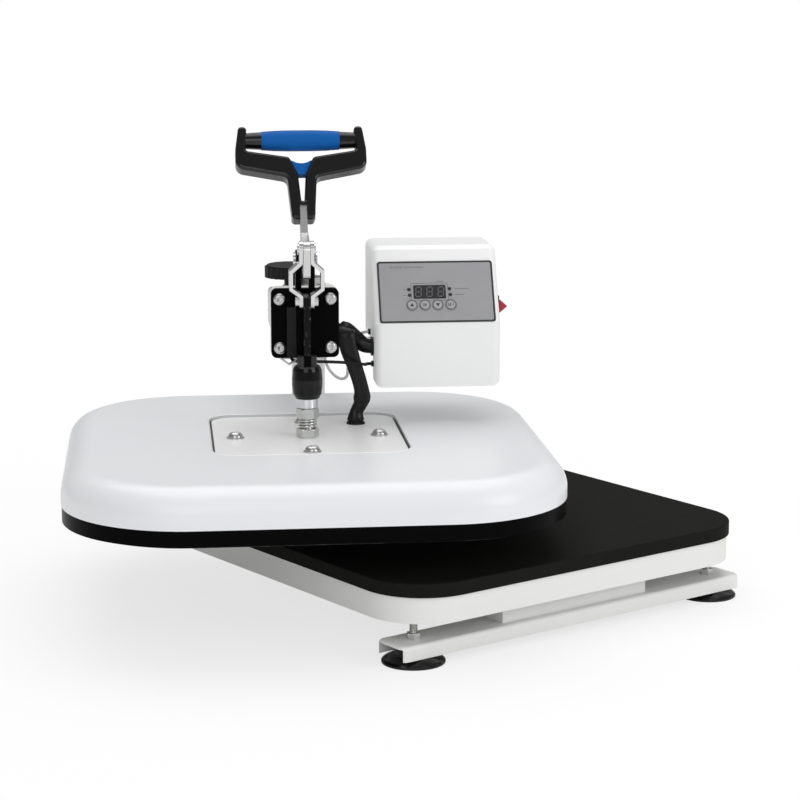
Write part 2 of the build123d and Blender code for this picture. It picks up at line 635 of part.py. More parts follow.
def chamfer_nut(nut):
    """Rounds a nut's six points off with a cone at its top and bottom."""
    box = nut.bounding_box()
    across = NUT_FLATS / math.sqrt(3)
    keep = turned([(0, box.min.Z), (across - 1.2, box.min.Z), (across, box.min.Z + 1.0),
                   (across, box.max.Z - 1.0), (across - 1.2, box.max.Z), (0, box.max.Z)])
    return nut & keep


def bolt_circle_spots():
    """The four dome bolts round the plunger."""
    return [(BOLT_CIRCLE, 0), (0, BOLT_CIRCLE), (-BOLT_CIRCLE, 0), (0, -BOLT_CIRCLE)]


def build_platen():
    """Cover, access plate, dome bolts, band, heating plate, element and blanket."""
    cover = slab(COVER_SIZE, COVER_SIZE, COVER_CORNER, COVER_BOTTOM, COVER_TOP)
    cover = fillet(cover.edges().group_by(Axis.Z)[-1], COVER_FILLET)
    inner_size = COVER_SIZE - 2 * SHEET
    inner = slab(inner_size, inner_size, COVER_CORNER - SHEET, COVER_BOTTOM - 30, COVER_TOP - SHEET)
    inner = fillet(inner.edges().group_by(Axis.Z)[-1], COVER_FILLET - SHEET)
    cover -= inner
    rim = slab(OPENING_WIDTH + 4, OPENING_DEPTH + 4, OPENING_CORNER + 2, ACCESS_BOTTOM - SHEET, COVER_TOP,
               y=OPENING_SHIFT)
    cover += rim
    cover -= slab(OPENING_WIDTH, OPENING_DEPTH, OPENING_CORNER, ACCESS_BOTTOM, BIG, y=OPENING_SHIFT)
    cover -= slab(OPENING_WIDTH - 2 * LEDGE, OPENING_DEPTH - 2 * LEDGE, OPENING_CORNER - LEDGE,
                  0, BIG, y=OPENING_SHIFT)
    access = slab(OPENING_WIDTH - 2 * ACCESS_GAP, OPENING_DEPTH - 2 * ACCESS_GAP,
                  OPENING_CORNER - ACCESS_GAP, ACCESS_BOTTOM, ACCESS_TOP, y=OPENING_SHIFT)
    band_size = COVER_SIZE - 2 * BAND_INSET
    band_hole = band_size - 2 * BAND_THICK
    band = slab(band_size, band_size, COVER_CORNER - BAND_INSET, BAND_BOTTOM, COVER_BOTTOM)
    band -= slab(band_hole, band_hole, COVER_CORNER - BAND_INSET - BAND_THICK, 0, BIG)
    heater_size = COVER_SIZE - 2 * HEATER_INSET
    heater_top = HEATER_BOTTOM + HEATER_THICK
    heater = slab(heater_size, heater_size, COVER_CORNER - HEATER_INSET, HEATER_BOTTOM, heater_top)
    heater = chamfer(heater.edges().group_by(Axis.Z)[0], 1.0)
    lip_size = band_hole - 4 * SLIDE_FIT
    lip = slab(lip_size, lip_size, COVER_CORNER - (COVER_SIZE - lip_size) / 2, heater_top - 4, heater_top)
    heater += lip
    blanket_low = heater_top + BLANKET_LIFT
    blanket_size = COVER_SIZE - 2 * BLANKET_INSET
    blanket = slab(blanket_size, blanket_size, COVER_CORNER - BLANKET_INSET + 2,
                   blanket_low, blanket_low + BLANKET_THICK)
    bolts = []
    for x, y in bolt_circle_spots():
        access -= rod(4.0, 0, BIG, x, y)
        blanket -= rod(5.5, 0, BIG, x, y)
        dome = turned([(0, ACCESS_TOP), (DOME_RADIUS + 0.6, ACCESS_TOP), (DOME_RADIUS + 0.6, ACCESS_TOP + 1),
                       (DOME_RADIUS - 0.6, ACCESS_TOP + 1.1), (DOME_RADIUS - 1.4, ACCESS_TOP + 3.4),
                       (DOME_RADIUS - 4, ACCESS_TOP + 5.2), (0, ACCESS_TOP + 5.8)], x, y)
        bolts.append(dome + rod(4.0, heater_top, ACCESS_TOP, x, y))
    access -= rod(PLUNGER_STUD_RADIUS, 0, BIG)
    access -= rod(SLEEVE_RADIUS + 1.5, 0, BIG, GROMMET_X, GROMMET_Y)
    blanket -= rod(SLEEVE_RADIUS + 1.5, 0, BIG, GROMMET_X, GROMMET_Y)
    grommet = turned([(SLEEVE_RADIUS - 1.0, ACCESS_BOTTOM - 1.5), (SLEEVE_RADIUS + 1.5, ACCESS_BOTTOM - 1.5),
                      (SLEEVE_RADIUS + 1.5, ACCESS_TOP), (SLEEVE_RADIUS + 2.4, ACCESS_TOP),
                      (SLEEVE_RADIUS + 1.8, ACCESS_TOP + 1.6), (SLEEVE_RADIUS, ACCESS_TOP + 3.55),
                      (SLEEVE_RADIUS - 1.0, ACCESS_TOP + 3.55)], GROMMET_X, GROMMET_Y)
    reach = COVER_SIZE / 2 - ELEMENT_INSET
    inner_row = BOLT_CIRCLE - ELEMENT_BOLT_GAP
    points = []
    for row, x in enumerate((-reach, -inner_row, inner_row, reach)):
        ends = [(x, -reach), (x, reach)] if row % 2 == 0 else [(x, reach), (x, -reach)]
        points.extend((px, py, heater_top + ELEMENT_RADIUS + SLIDE_FIT) for px, py in ends)
    bend = ELEMENT_BEND_SHARE * min(reach - inner_row, 2 * inner_row)
    path = FilletPolyline(*points, radius=bend)
    element = sweep(Plane(origin=path @ 0, z_dir=path % 0) * Circle(ELEMENT_RADIUS), path=path)
    save("cover_shell", [cover], True)
    save("access_plate", [access], True)
    save("dome_bolts", bolts, True)
    save("sleeve_grommet", [grommet], True)
    save("heater_band", [band], True)
    save("heating_plate", [heater], True)
    save("heating_element", [element], True)
    save("insulation_blanket", [blanket], True)


def on_handle(part):
    """Places a piece built upright at the fulcrum on the leaning handle."""
    return Pos(0, FULCRUM_Y, FULCRUM_Z) * Rot(-HANDLE_LEAN, 0, 0) * part


def mirrored(points):
    """The left half of a symmetric outline, in reverse order."""
    return [(-x, z) for x, z in reversed(points)]


def build_handle():
    """Lever bar, Y-shaped handle with its web, grip bar, sleeve and rivets."""
    half = TONGUE_THICK / 2
    lever = rod_x(8.0, -half, half, FULCRUM_Y, FULCRUM_Z)
    lever += rod_x(6.5, -half, half, CRANK_Y, CRANK_Z)
    lever += rod_x(5.0, -half, half, -3.0, 288.0)
    lever += side_plate([(-8.0, 288.0), (-9.8, CRANK_Z), (-2.0, CRANK_Z + 6.2), (FULCRUM_Y, FULCRUM_Z + 8),
                         (FULCRUM_Y, FULCRUM_Z - 7.9), (-3.0, 283.1)], -half, half)
    shank = block(-half, half, -6.5, 6.5, 0, SHANK_TOP)
    lever += on_handle(shank)
    lever += side_plate([(-2.0, CRANK_Z + 6.2), (FULCRUM_Y + 4.2, FULCRUM_Z + 22), (FULCRUM_Y, FULCRUM_Z)],
                        -half, half)
    lever -= rod_x(FULCRUM_RADIUS, -20, 20, FULCRUM_Y, FULCRUM_Z)
    lever -= rod_x(LINK_PIN_RADIUS + RUN_FIT, -20, 20, CRANK_Y, CRANK_Z)
    corners = [(NECK_HALF, NECK_BOTTOM, 3.3), (NECK_HALF + 3.0, NECK_TOP, 6.0), (ARM_HALF, ARM_LOW, 8.0),
               (ARM_HALF, PRONG_BEND, 5.0), (PRONG_TOP_HALF, PRONG_TOP, 3.4),
               (PRONG_TOP_HALF - PRONG_THICK, PRONG_TOP, 3.4), (ARM_HALF - 9.0, ARM_HIGH, 3.0),
               (10.6, 93.8, 4.0), (3.4, SLIT_TOP, 4.0), (1.4, SLIT_BOTTOM, 1.3)]
    frame = handle_outline(corners)
    slit = [(1.4, SLIT_BOTTOM), (3.4, SLIT_TOP), (9.6, WEB_TOP + 0.1)]
    frame = round_outline(frame, HANDLE_ROUND)
    frame -= block(-half - SLIDE_FIT, half + SLIDE_FIT, -BIG, BIG, 0, SHANK_TOP)
    web = front_plate([(3.4, SLIT_TOP), (9.4, WEB_TOP), (-9.4, WEB_TOP), (-3.4, SLIT_TOP)], -4.0, 4.0)
    dip = rod_y(14.0, -BIG, BIG, 0, WEB_TOP + 11.4)
    web -= dip
    web &= front_plate(slit + mirrored(slit), -BIG, BIG)
    inside = PRONG_TOP_HALF - PRONG_THICK + 2.2
    end_radius = GRIP_RADIUS - 1.4
    bar = lathe_x([(0, -inside), (end_radius - 0.9, -inside), (end_radius, -SLEEVE_HALF),
                   (GRIP_CORE, -SLEEVE_HALF), (GRIP_CORE, SLEEVE_HALF), (end_radius, SLEEVE_HALF),
                   (end_radius - 0.9, inside), (0, inside)])
    bar = Pos(0, 0, GRIP_LEVEL) * bar - frame
    third = SLEEVE_HALF / 3
    sleeve = lathe_x([(GRIP_CORE, -SLEEVE_HALF), (GRIP_RADIUS - 1.1, -SLEEVE_HALF), (GRIP_RADIUS - 0.3, -2 * third),
                      (GRIP_RADIUS, -third), (GRIP_RADIUS, third), (GRIP_RADIUS - 0.3, 2 * third),
                      (GRIP_RADIUS - 1.1, SLEEVE_HALF), (GRIP_CORE, SLEEVE_HALF)])
    sleeve = Pos(0, 0, GRIP_LEVEL) * sleeve
    rivets = []
    for level in RIVET_LEVELS:
        reach = NECK_HALF + 3.0 * (level - NECK_BOTTOM) / (NECK_TOP - NECK_BOTTOM) + 0.3
        rivet = rod_x(1.8, -reach, reach, 0, level)
        rivets.append(on_handle(rivet))
        frame -= rod_x(1.8, -20, 20, 0, level)
        lever -= on_handle(rod_x(1.8, -20, 20, 0, level))
    save("lever_bar", [lever], True)
    save("handle_frame", [on_handle(frame)], True)
    save("handle_web", [on_handle(web)], True)
    save("grip_bar", [on_handle(s) for s in bar.solids()], True)
    save("grip_sleeve", [on_handle(sleeve)], True)
    save("handle_rivets", rivets, True)


def handle_outline(corners):
    """The handle's plate from X, Z and corner radius, mirrored to the left."""
    right = [(x, z) for x, z, _ in corners]
    outline = make_face(Polyline(*right, *mirrored(right), close=True))
    for x, z, radius in corners:
        for side in (-1, 1):
            corner = outline.vertices().sort_by_distance((side * x, z, 0))[0]
            outline = fillet(corner, radius)
    return Plane.XZ.offset(-HANDLE_DEPTH / 2) * extrude(outline, amount=HANDLE_DEPTH)


def lathe_x(points):
    """A body turned about the X axis from radius and X pairs."""
    line = Polyline(*[(x, r, 0) for r, x in points], close=True)
    return revolve(make_face(line), axis=Axis.X)


def round_outline(part, radius):
    """Rounds the front and back outlines of a plate that faces Y."""
    front = part.edges().group_by(Axis.Y)[0]
    back = part.edges().group_by(Axis.Y)[-1]
    return fillet(front + back, radius)


def build_links():
    """The two waved link plates and their pins."""
    tilt = math.degrees(math.atan2(-CRANK_Y, CRANK_Z - LINK_PIN_Z))
    length = math.hypot(CRANK_Y, CRANK_Z - LINK_PIN_Z)
    inner = PLATE_INSIDE
    outer = inner + LINK_THICK
    flare = LINK_FLARE - LINK_THICK
    left_edge = [(inner, -6), (inner, 5.8), (flare, 12.4), (flare, 26), (inner, 33.6), (inner, length + 7)]
    right_edge = [(outer, length + 7), (outer, 35.0), (flare + LINK_THICK, 27.5),
                  (flare + LINK_THICK, 10.9), (outer, 4.4), (outer, -6)]
    plates = []
    for side in (-1, 1):
        plate = front_plate([(side * x, z) for x, z in left_edge + right_edge], -6.0, 6.0)
        ends = side_plate([(-6, -6), (6, -6), (6, length + 7), (-6, length + 7)], -BIG, BIG)
        ends = fillet(ends.edges().filter_by(Axis.X), 5.4)
        plate &= ends
        for z in (0, length):
            plate -= rod_x(LINK_PIN_RADIUS, -40, 40, 0, z)
        plates.append(plate)
    low_pins = rivet_pin(outer, 0.0, 3.4, 4.2)
    low_pins -= block(-inner, inner, -BIG, BIG, -BIG, BIG)
    high_pin = rivet_pin(outer, length, 1.4, 5.0)
    place = Pos(0, 0, LINK_PIN_Z) * Rot(tilt, 0, 0)
    save("link_plates", [place * plate for plate in plates], True)
    save("link_pins", [place * low_pins, place * high_pin], True)


def rivet_pin(outer, level, head_thick, head_radius):
    """A pin across both plates with a head outside each."""
    pin = rod_x(LINK_PIN_RADIUS, -outer - 0.1, outer + 0.1, 0, level)
    for side in (-1, 1):
        low, high = sorted((side * outer, side * (outer + head_thick)))
        pin += rod_x(head_radius, low, high, 0, level)
    return pin


def box_profile(inset):
    """The control box seen from the side, as Y and Z pairs, drawn in by a wall."""
    return [
        (BOX_FRONT + inset, BOX_BOTTOM + inset),
        (BOX_FRONT + inset, PANEL_BOTTOM - 0.3 * inset),
        (BOX_FRONT + PANEL_RUN + 0.85 * inset, PANEL_TOP - 0.2 * inset),
        (BOX_FRONT + PANEL_RUN + 5.0 + 0.5 * inset, BOX_TOP - 3.0 - inset),
        (BOX_FRONT + PANEL_RUN + 11.0, BOX_TOP - inset),
        (BOX_BACK - inset, BOX_TOP - inset),
        (BOX_BACK - inset, STEP_Z + inset),
        (STEP_Y - inset, STEP_Z + inset),
        (STEP_Y - inset, BOX_BOTTOM + inset),
    ]


def on_panel(part):
    """Places a piece drawn on the XY plane on the slanted panel, +Z outwards."""
    slope = math.degrees(math.atan2(PANEL_TOP - PANEL_BOTTOM, PANEL_RUN))
    centre = (BOX_LEFT + BOX_RIGHT) / 2
    return Pos(centre, BOX_FRONT, PANEL_BOTTOM) * Rot(slope, 0, 0) * part


def build_box():
    """Control box with its panel pieces, rocker, inlet, board, back and glands."""
    shell = side_plate(box_profile(0.0), BOX_LEFT, BOX_RIGHT)
    sides = shell.edges().group_by(Axis.X)
    shell = fillet(sides[0] + sides[-1], BOX_EDGE)
    shell -= side_plate(box_profile(BOX_WALL), BOX_LEFT + BOX_WALL, BOX_RIGHT - BOX_WALL)
    back_low = STEP_Z + BOX_WALL
    back_high = BOX_TOP - BOX_WALL
    back_limits = (BOX_LEFT + 6, BOX_RIGHT - 6)
    shell -= block(*back_limits, BOX_BACK - BOX_WALL - 1, BOX_BACK + 1, back_low + 4, back_high - 4)
    back = block(back_limits[0] - 3, back_limits[1] + 3, BOX_BACK - BOX_WALL - 1.8, BOX_BACK - BOX_WALL,
                 back_low + 1, back_high - 1)
    inlet_x = (95.0, 125.0)
    inlet_z = (236.0, 258.0)
    back -= block(*inlet_x, 0, BIG, *inlet_z)
    inlet = block(*inlet_x, BOX_BACK - 24, BOX_BACK - 1.0, *inlet_z)
    inlet += block(inlet_x[0] - 4, inlet_x[1] + 4, BOX_BACK - BOX_WALL, BOX_BACK - 0.5,
                   inlet_z[0] - 3, inlet_z[1] + 3)
    inlet -= block(inlet_x[0] + 3, inlet_x[1] - 3, BOX_BACK - 17, BIG, inlet_z[0] + 3, inlet_z[1] - 3)
    middle = (inlet_x[0] + inlet_x[1]) / 2
    level = (inlet_z[0] + inlet_z[1]) / 2
    for dx, dz in ((-7.0, -2.5), (0.0, 2.5), (7.0, -2.5)):
        inlet += block(middle + dx - 1, middle + dx + 1, BOX_BACK - 18, BOX_BACK - 4,
                       level + dz - 2, level + dz + 2)
    run = math.hypot(PANEL_RUN, PANEL_TOP - PANEL_BOTTOM)
    label = slab(LABEL_WIDTH, run - 2 * LABEL_MARGIN, 2.5, 0, LABEL_THICK, y=run / 2)
    window_x = (WINDOW_LEFT + WINDOW_RIGHT) / 2
    window_y = (WINDOW_LOW + WINDOW_HIGH) / 2
    window_width = WINDOW_RIGHT - WINDOW_LEFT
    window_height = WINDOW_HIGH - WINDOW_LOW
    window = slab(window_width, window_height, 0.8, -3.0, LABEL_THICK + 0.4, window_x, window_y)
    cuts = slab(window_width + 0.2, window_height + 0.2, 0.9, -20, 20, window_x, window_y)
    leds = []
    for x, y in LED_SPOTS:
        leds.append(on_panel(rod(LED_RADIUS, -3.0, LABEL_THICK + 0.5, x, y)))
        cuts += rod(LED_RADIUS + 0.05, -20, 20, x, y)
    for name, x in zip(BUTTON_NAMES, BUTTON_XS):
        cap = rod(BUTTON_RADIUS, -6.0, LABEL_THICK + BUTTON_PROUD, x, BUTTON_LEVEL)
        cap = chamfer(cap.edges().group_by(Axis.Z)[-1], 0.3)
        cap += rod(1.6, -7.2, -6.0, x, BUTTON_LEVEL)
        save(name, [on_panel(cap)], True)
        cuts += rod(BUTTON_RADIUS + 0.1, -20, 20, x, BUTTON_LEVEL)
    label -= cuts
    hole = slab(window_width + 0.2, window_height + 0.2, 0.9, -4.5, 4, window_x, window_y)
    shell -= on_panel(hole)
    for x, y in LED_SPOTS:
        shell -= on_panel(rod(LED_RADIUS + 0.05, -4.5, 4, x, y))
    for x in BUTTON_XS:
        shell -= on_panel(rod(BUTTON_RADIUS + 0.1, -4.5, 4, x, BUTTON_LEVEL))
    board = slab(88, 44, 2.0, -BOARD_DEPTH - BOARD_THICK, -BOARD_DEPTH, y=run / 2)
    for sx in (-1, 1):
        for y in (12.0, 47.0):
            board += rod(2.5, -BOARD_DEPTH, -BOX_WALL, sx * 40, y)
    board = on_panel(board)
    bezel_z = (ROCKER_Z - ROCKER_HALF - 3.4, ROCKER_Z + ROCKER_HALF + 3.4)
    hole_z = (ROCKER_Z - ROCKER_HALF - 1.6, ROCKER_Z + ROCKER_HALF + 1.6)
    bezel = block(BOX_RIGHT - 12, BOX_RIGHT, ROCKER_Y - 9, ROCKER_Y + 9, hole_z[0] - 0.9, hole_z[1] + 0.9)
    shell -= bezel
    bezel += block(BOX_RIGHT, BOX_RIGHT + BEZEL_PROUD, ROCKER_Y - 11, ROCKER_Y + 11, *bezel_z)
    bezel -= block(BOX_RIGHT - 9, BIG, ROCKER_Y - 7.6, ROCKER_Y + 7.6, *hole_z)
    tip = BOX_RIGHT + ROCKER_REACH
    rocker = front_plate([(tip, ROCKER_Z), (BOX_RIGHT + 2.6, ROCKER_Z + ROCKER_HALF),
                          (BOX_RIGHT - 3.5, ROCKER_Z + ROCKER_HALF - 1.4),
                          (BOX_RIGHT - 5.5, ROCKER_Z), (BOX_RIGHT - 3.5, ROCKER_Z - ROCKER_HALF + 1.4),
                          (BOX_RIGHT + 2.6, ROCKER_Z - ROCKER_HALF)], ROCKER_Y - 7.3, ROCKER_Y + 7.3)
    glands = []
    for route, radius, y_pad in ((SLEEVE_ROUTE, SLEEVE_RADIUS, 2.4), (SWITCH_ROUTE, THIN_RADIUS, 1.4),
                                 (EARTH_ROUTE, THIN_RADIUS, 1.4)):
        _, y, z = route[-1] if route is not SLEEVE_ROUTE else route[0]
        shell -= rod_x(radius + y_pad - 0.6, BOX_LEFT - 1, BOX_LEFT + BOX_WALL + 2, y, z)
        gland = rod_x(radius + y_pad, BOX_LEFT - GLAND_REACH, BOX_LEFT, y, z)
        gland += rod_x(radius + y_pad - 0.6, BOX_LEFT, BOX_LEFT + BOX_WALL + 1, y, z)
        if route is SLEEVE_ROUTE:
            gland -= rod_x(radius + 0.05, BOX_LEFT - 9, BOX_LEFT, y, z)
            gland -= rod_x(radius - 1, BOX_LEFT - 9, BIG, y, z)
        glands.append(gland)
    screws = []
    for x in (back_limits[0], back_limits[1]):
        for z in (back_low + 3, back_high - 3):
            screw = rod_y(1.4, BOX_BACK - 9, BOX_BACK + 0.1, x, z)
            screws.append(screw + rod_y(2.8, BOX_BACK, BOX_BACK + 1.6, x, z))
            shell -= rod_y(1.4, BOX_BACK - 9, BOX_BACK + 3, x, z)
            back -= rod_y(1.4, BOX_BACK - 9, BOX_BACK + 3, x, z)
    save("control_housing", [shell], True)
    save("housing_back", [back], True)
    save("housing_screws", screws, True)
    save("front_label", [on_panel(label)], True)
    save("display_window", [on_panel(window)] + leds, True)
    save("circuit_board", [board], True)
    save("rocker_bezel", [bezel], True)
    save("power_rocker", [rocker], True)
    save("mains_inlet", [inlet], True)
    save("lead_glands", glands, True)


def build_leads():
    """The braided heater sleeve and the two thin leads."""
    save("heater_sleeve", [tube_along(SLEEVE_ROUTE, SLEEVE_RADIUS, "heater_sleeve")], True)
    save("switch_lead", [tube_along(SWITCH_ROUTE, THIN_RADIUS, "switch_lead")], True)
    save("earth_lead", [tube_along(EARTH_ROUTE, THIN_RADIUS, "earth_lead")], True)


os.makedirs("parts", exist_ok=True)
build_base()
build_post()
build_arm()
build_clamp()
build_plunger()
build_platen()
build_handle()
build_links()
build_box()
build_leads()
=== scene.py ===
"""Looks of a swing-away heat press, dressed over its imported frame.

Lengths in the formulas are millimetres above the floor in the arm's own frame, where the arm
points over the pad; `on_arm` turns them into metres in the frame of the model.
"""

import math

import bpy
import numpy as np
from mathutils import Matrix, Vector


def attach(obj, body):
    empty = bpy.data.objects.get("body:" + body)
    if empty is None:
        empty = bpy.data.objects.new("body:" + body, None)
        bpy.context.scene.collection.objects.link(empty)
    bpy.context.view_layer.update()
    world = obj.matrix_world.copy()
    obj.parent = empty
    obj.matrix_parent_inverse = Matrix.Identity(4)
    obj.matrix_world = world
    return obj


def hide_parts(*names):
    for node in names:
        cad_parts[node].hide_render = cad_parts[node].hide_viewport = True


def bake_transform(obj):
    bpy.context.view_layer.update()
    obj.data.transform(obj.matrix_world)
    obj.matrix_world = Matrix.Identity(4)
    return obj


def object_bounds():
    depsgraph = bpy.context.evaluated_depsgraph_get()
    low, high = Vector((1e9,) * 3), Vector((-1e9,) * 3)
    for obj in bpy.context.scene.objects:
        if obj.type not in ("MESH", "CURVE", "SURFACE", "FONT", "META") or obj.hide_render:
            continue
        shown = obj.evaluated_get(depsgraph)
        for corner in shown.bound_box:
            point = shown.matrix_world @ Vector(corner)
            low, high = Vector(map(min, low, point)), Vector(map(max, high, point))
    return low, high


bl_info = {
    "name": "Heat press dressing",
    "version": (1, 0, 0),
    "blender": (4, 5, 0),
    "location": "3D View > Sidebar > Heat press",
    "description": "Materials, leads and small parts of a swing-away heat press",
    "category": "Object",
}

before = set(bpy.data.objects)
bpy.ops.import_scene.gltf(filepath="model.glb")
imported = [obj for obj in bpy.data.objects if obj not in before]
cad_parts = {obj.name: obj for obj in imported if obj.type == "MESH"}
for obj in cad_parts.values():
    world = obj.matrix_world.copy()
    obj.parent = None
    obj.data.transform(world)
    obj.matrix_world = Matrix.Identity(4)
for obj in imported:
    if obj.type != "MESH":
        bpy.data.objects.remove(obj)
CAD_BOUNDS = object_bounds()

PAD_TOP = 69.0
POST_X = 17.1
POST_Y = 246.7
SWING = math.radians(-30.8)
PANEL_SLOPE = math.atan2(51.0, 31.0)
PANEL_BASE = (119.0, 42.0, 235.9)
OPENING_WIDTH = 168.0
OPENING_DEPTH = 173.0
OPENING_CORNER = 22.0
OPENING_SHIFT = 6.5
OPENING_LIP = 146.45
# Heights of the dark ring of painted shade in the gap round the access plate.
GAP_SHADE_LEVELS = (141.2, 143.6)
POST_WELD_RADIUS = 16.6
POST_WELD_LEVEL = 42.3
SCREW_XS = (-22.0, 22.0)
SCREW_LEVELS = (219.5, 262.1)
SCREW_FACE = 22.0
BOLT_CIRCLE = 62.5
BOLT_SEAT = 144.7
SPRING_RADIUS = 7.2
SPRING_WIRE = 0.9
SPRING_TURNS = 3.0
SPRING_LOW = 153.25
SPRING_HIGH = 160.35
ROD_BLACK_FROM = 208.0
FOOT_XS = (-162.5, 162.5)
FOOT_Y = -159.5

SLEEVE_FOLD_WIDTH = 14.0
SLEEVE_FOLD_SHARE = 0.25
SLEEVE_GLAND_WIDTH = 12.6
SLEEVE_GLAND_SHARE = 0.12
SLEEVE_PINCH = 168.5
SLEEVE_ROUTE = (
    (62.8, 60.0, 213.0),
    (55.5, 60.0, 213.0),
    (49.5, 61.2, 218.4),
    (38.2, 62.0, 229.3),
    (37.0, 48.5, 229.3),
    (39.2, 47.4, 215.5),
    (42.2, 47.4, 206.5),
    (45.2, 47.5, 197.5),
    (49.6, 48.0, 184.0),
    (52.3, 49.2, 172.0),
    (51.2, 50.6, 163.5),
    (47.6, 52.6, 156.6),
    (46.5, 53.0, 151.5),
    (46.5, 53.0, 148.3),
)
SLEEVE_WIDTHS = (
    (148.3, 15.6),
    (151.0, 14.0),
    (153.5, 12.5),
    (157.0, 11.8),
    (162.0, 12.3),
    (166.5, 15.0),
    (170.0, 15.4),
    (174.0, 13.6),
    (180.0, 13.0),
    (190.0, 13.2),
    (200.0, 13.8),
    (208.0, 15.0),
    (216.0, 15.6),
    (230.0, 15.8),
)
SWITCH_ROUTE = (
    (-12.5, 18.5, 212.35),
    (-12.5, 18.5, 208.9),
    (-6.5, 19.2, 207.6),
    (3.0, 20.5, 207.2),
    (15.0, 24.0, 206.2),
    (27.0, 29.5, 204.7),
    (38.0, 34.8, 203.0),
    (47.5, 38.2, 201.3),
    (54.6, 43.5, 199.5),
    (55.8, 50.0, 198.3),
    (55.6, 56.0, 198.0),
    (60.8, 56.0, 198.0),
)
EARTH_ROUTE = (
    (28.0, 198.0, 206.6),
    (28.2, 198.0, 196.0),
    (28.6, 197.0, 181.0),
    (33.0, 190.0, 168.0),
    (41.5, 170.0, 163.0),
    (47.0, 146.0, 169.0),
    (45.5, 122.0, 185.0),
    (45.0, 101.0, 200.0),
    (48.0, 91.0, 213.5),
    (55.0, 86.0, 222.0),
    (60.8, 86.0, 222.0),
)


def on_base(points):
    """Millimetres above the floor to metres in the model: (x, y, z - pad height) / 1000."""
    p = np.asarray(points, float)
    return (p - np.array([0.0, 0.0, PAD_TOP])) / 1000.0


def on_arm(points):
    """Turns arm millimetres about the post by the swing angle, then goes on as on_base does."""
    p = np.asarray(points, float)
    x = p[..., 0] - POST_X
    y = p[..., 1] - POST_Y
    c = math.cos(SWING)
    s = math.sin(SWING)
    turned = np.stack([POST_X + x * c - y * s, POST_Y + x * s + y * c, p[..., 2]], axis=-1)
    return on_base(turned)


def on_panel(points):
    """Panel coordinates (across, up the slope, outwards) in mm to metres in the model."""
    p = np.asarray(points, float)
    c = math.cos(PANEL_SLOPE)
    s = math.sin(PANEL_SLOPE)
    x = PANEL_BASE[0] + p[..., 0]
    y = PANEL_BASE[1] + p[..., 1] * c - p[..., 2] * s
    z = PANEL_BASE[2] + p[..., 1] * s + p[..., 2] * c
    return on_arm(np.stack([x, y, z], axis=-1))


def new_mesh(name, points, faces, material, sharp=35.0):
    """A mesh object from an array of points and an array or list of faces, smooth between edges."""
    mesh = bpy.data.meshes.new(name)
    corners = np.asarray(points, float).reshape(-1, 3).tolist()
    mesh.from_pydata(corners, [], [list(map(int, f)) for f in faces])
    mesh.validate()
    mesh.polygons.foreach_set("use_smooth", np.ones(len(mesh.polygons), bool))
    mesh.set_sharp_from_angle(angle=math.radians(sharp))
    mesh.update()
    thing = bpy.data.objects.new(name, mesh)
    bpy.context.scene.collection.objects.link(thing)
    mesh.materials.append(material)
    return thing


def grid_faces(rows, columns, wrap_rows=False):
    """Quads of a grid whose rows are loops, as an index array; wrap_rows joins the last row to the
    first."""
    i = np.arange(rows if wrap_rows else rows - 1)
    i, j = np.meshgrid(i, np.arange(columns), indexing="ij")
    i = i.ravel()
    j = j.ravel()
    k = (i + 1) % rows
    m = (j + 1) % columns
    return np.stack([i * columns + j, i * columns + m, k * columns + m, k * columns + j], axis=-1)


def lathe_grid(profile, turns=48, hexed=None):
    """Points (r cos a, r sin a, z) of a turned profile; where hexed is 1, r follows a hexagon:
    r cos 30 / cos(a mod 60 - 30)."""
    profile = np.asarray(profile, float)
    a = np.linspace(0.0, 2 * np.pi, turns, endpoint=False)
    hexed = np.zeros(len(profile)) if hexed is None else np.asarray(hexed, float)
    six = np.cos(np.pi / 6) / np.cos(np.mod(a, np.pi / 3) - np.pi / 6)
    scale = 1.0 + hexed[:, None] * (six[None, :] - 1.0)
    r = profile[:, 0, None] * scale
    z = np.broadcast_to(profile[:, 1, None], r.shape)
    return np.stack([r * np.cos(a), r * np.sin(a), z], axis=-1)


def tube_grid(path, radius, turns=16, squash=None, depth=None):
    """A tube about a path: p(t) + r (u cos a + v sin a), with u and v carried along the path
    without twist, or with u square to the direction depth. squash gives a pair of scales for u
    and v at each point."""
    path = np.asarray(path, float)
    tangent = np.gradient(path, axis=0)
    tangent /= np.linalg.norm(tangent, axis=1)[:, None]
    u = np.empty_like(path)
    side = np.cross(tangent[0], [0.3, 0.9, 0.2])
    for i in range(len(path)):
        side = side - tangent[i] * np.dot(side, tangent[i])
        side = side / np.linalg.norm(side)
        u[i] = side
    if depth is not None:
        u = np.cross(np.asarray(depth, float), tangent)
        u /= np.linalg.norm(u, axis=1)[:, None]
    v = np.cross(tangent, u)
    radius = np.broadcast_to(np.asarray(radius, float), (len(path),))
    scale = np.ones((len(path), 2)) if squash is None else np.asarray(squash, float)
    a = np.linspace(0.0, 2 * np.pi, turns, endpoint=False)
    across = u[:, None, :] * np.cos(a)[None, :, None] * (radius * scale[:, 0])[:, None, None]
    deep = v[:, None, :] * np.sin(a)[None, :, None] * (radius * scale[:, 1])[:, None, None]
    return path[:, None, :] + across + deep


def closed_tube(name, path, radius, material, turns=16, squash=None, depth=None):
    """A tube whose two ends are closed by flat fans."""
    grid = tube_grid(path, radius, turns, squash, depth)
    rows, columns = grid.shape[:2]
    points = grid.reshape(-1, 3)
    faces = grid_faces(rows, columns).tolist()
    faces.append(list(range(columns))[::-1])
    faces.append(list(range((rows - 1) * columns, rows * columns)))
    return new_mesh(name, points, faces, material, 50.0)


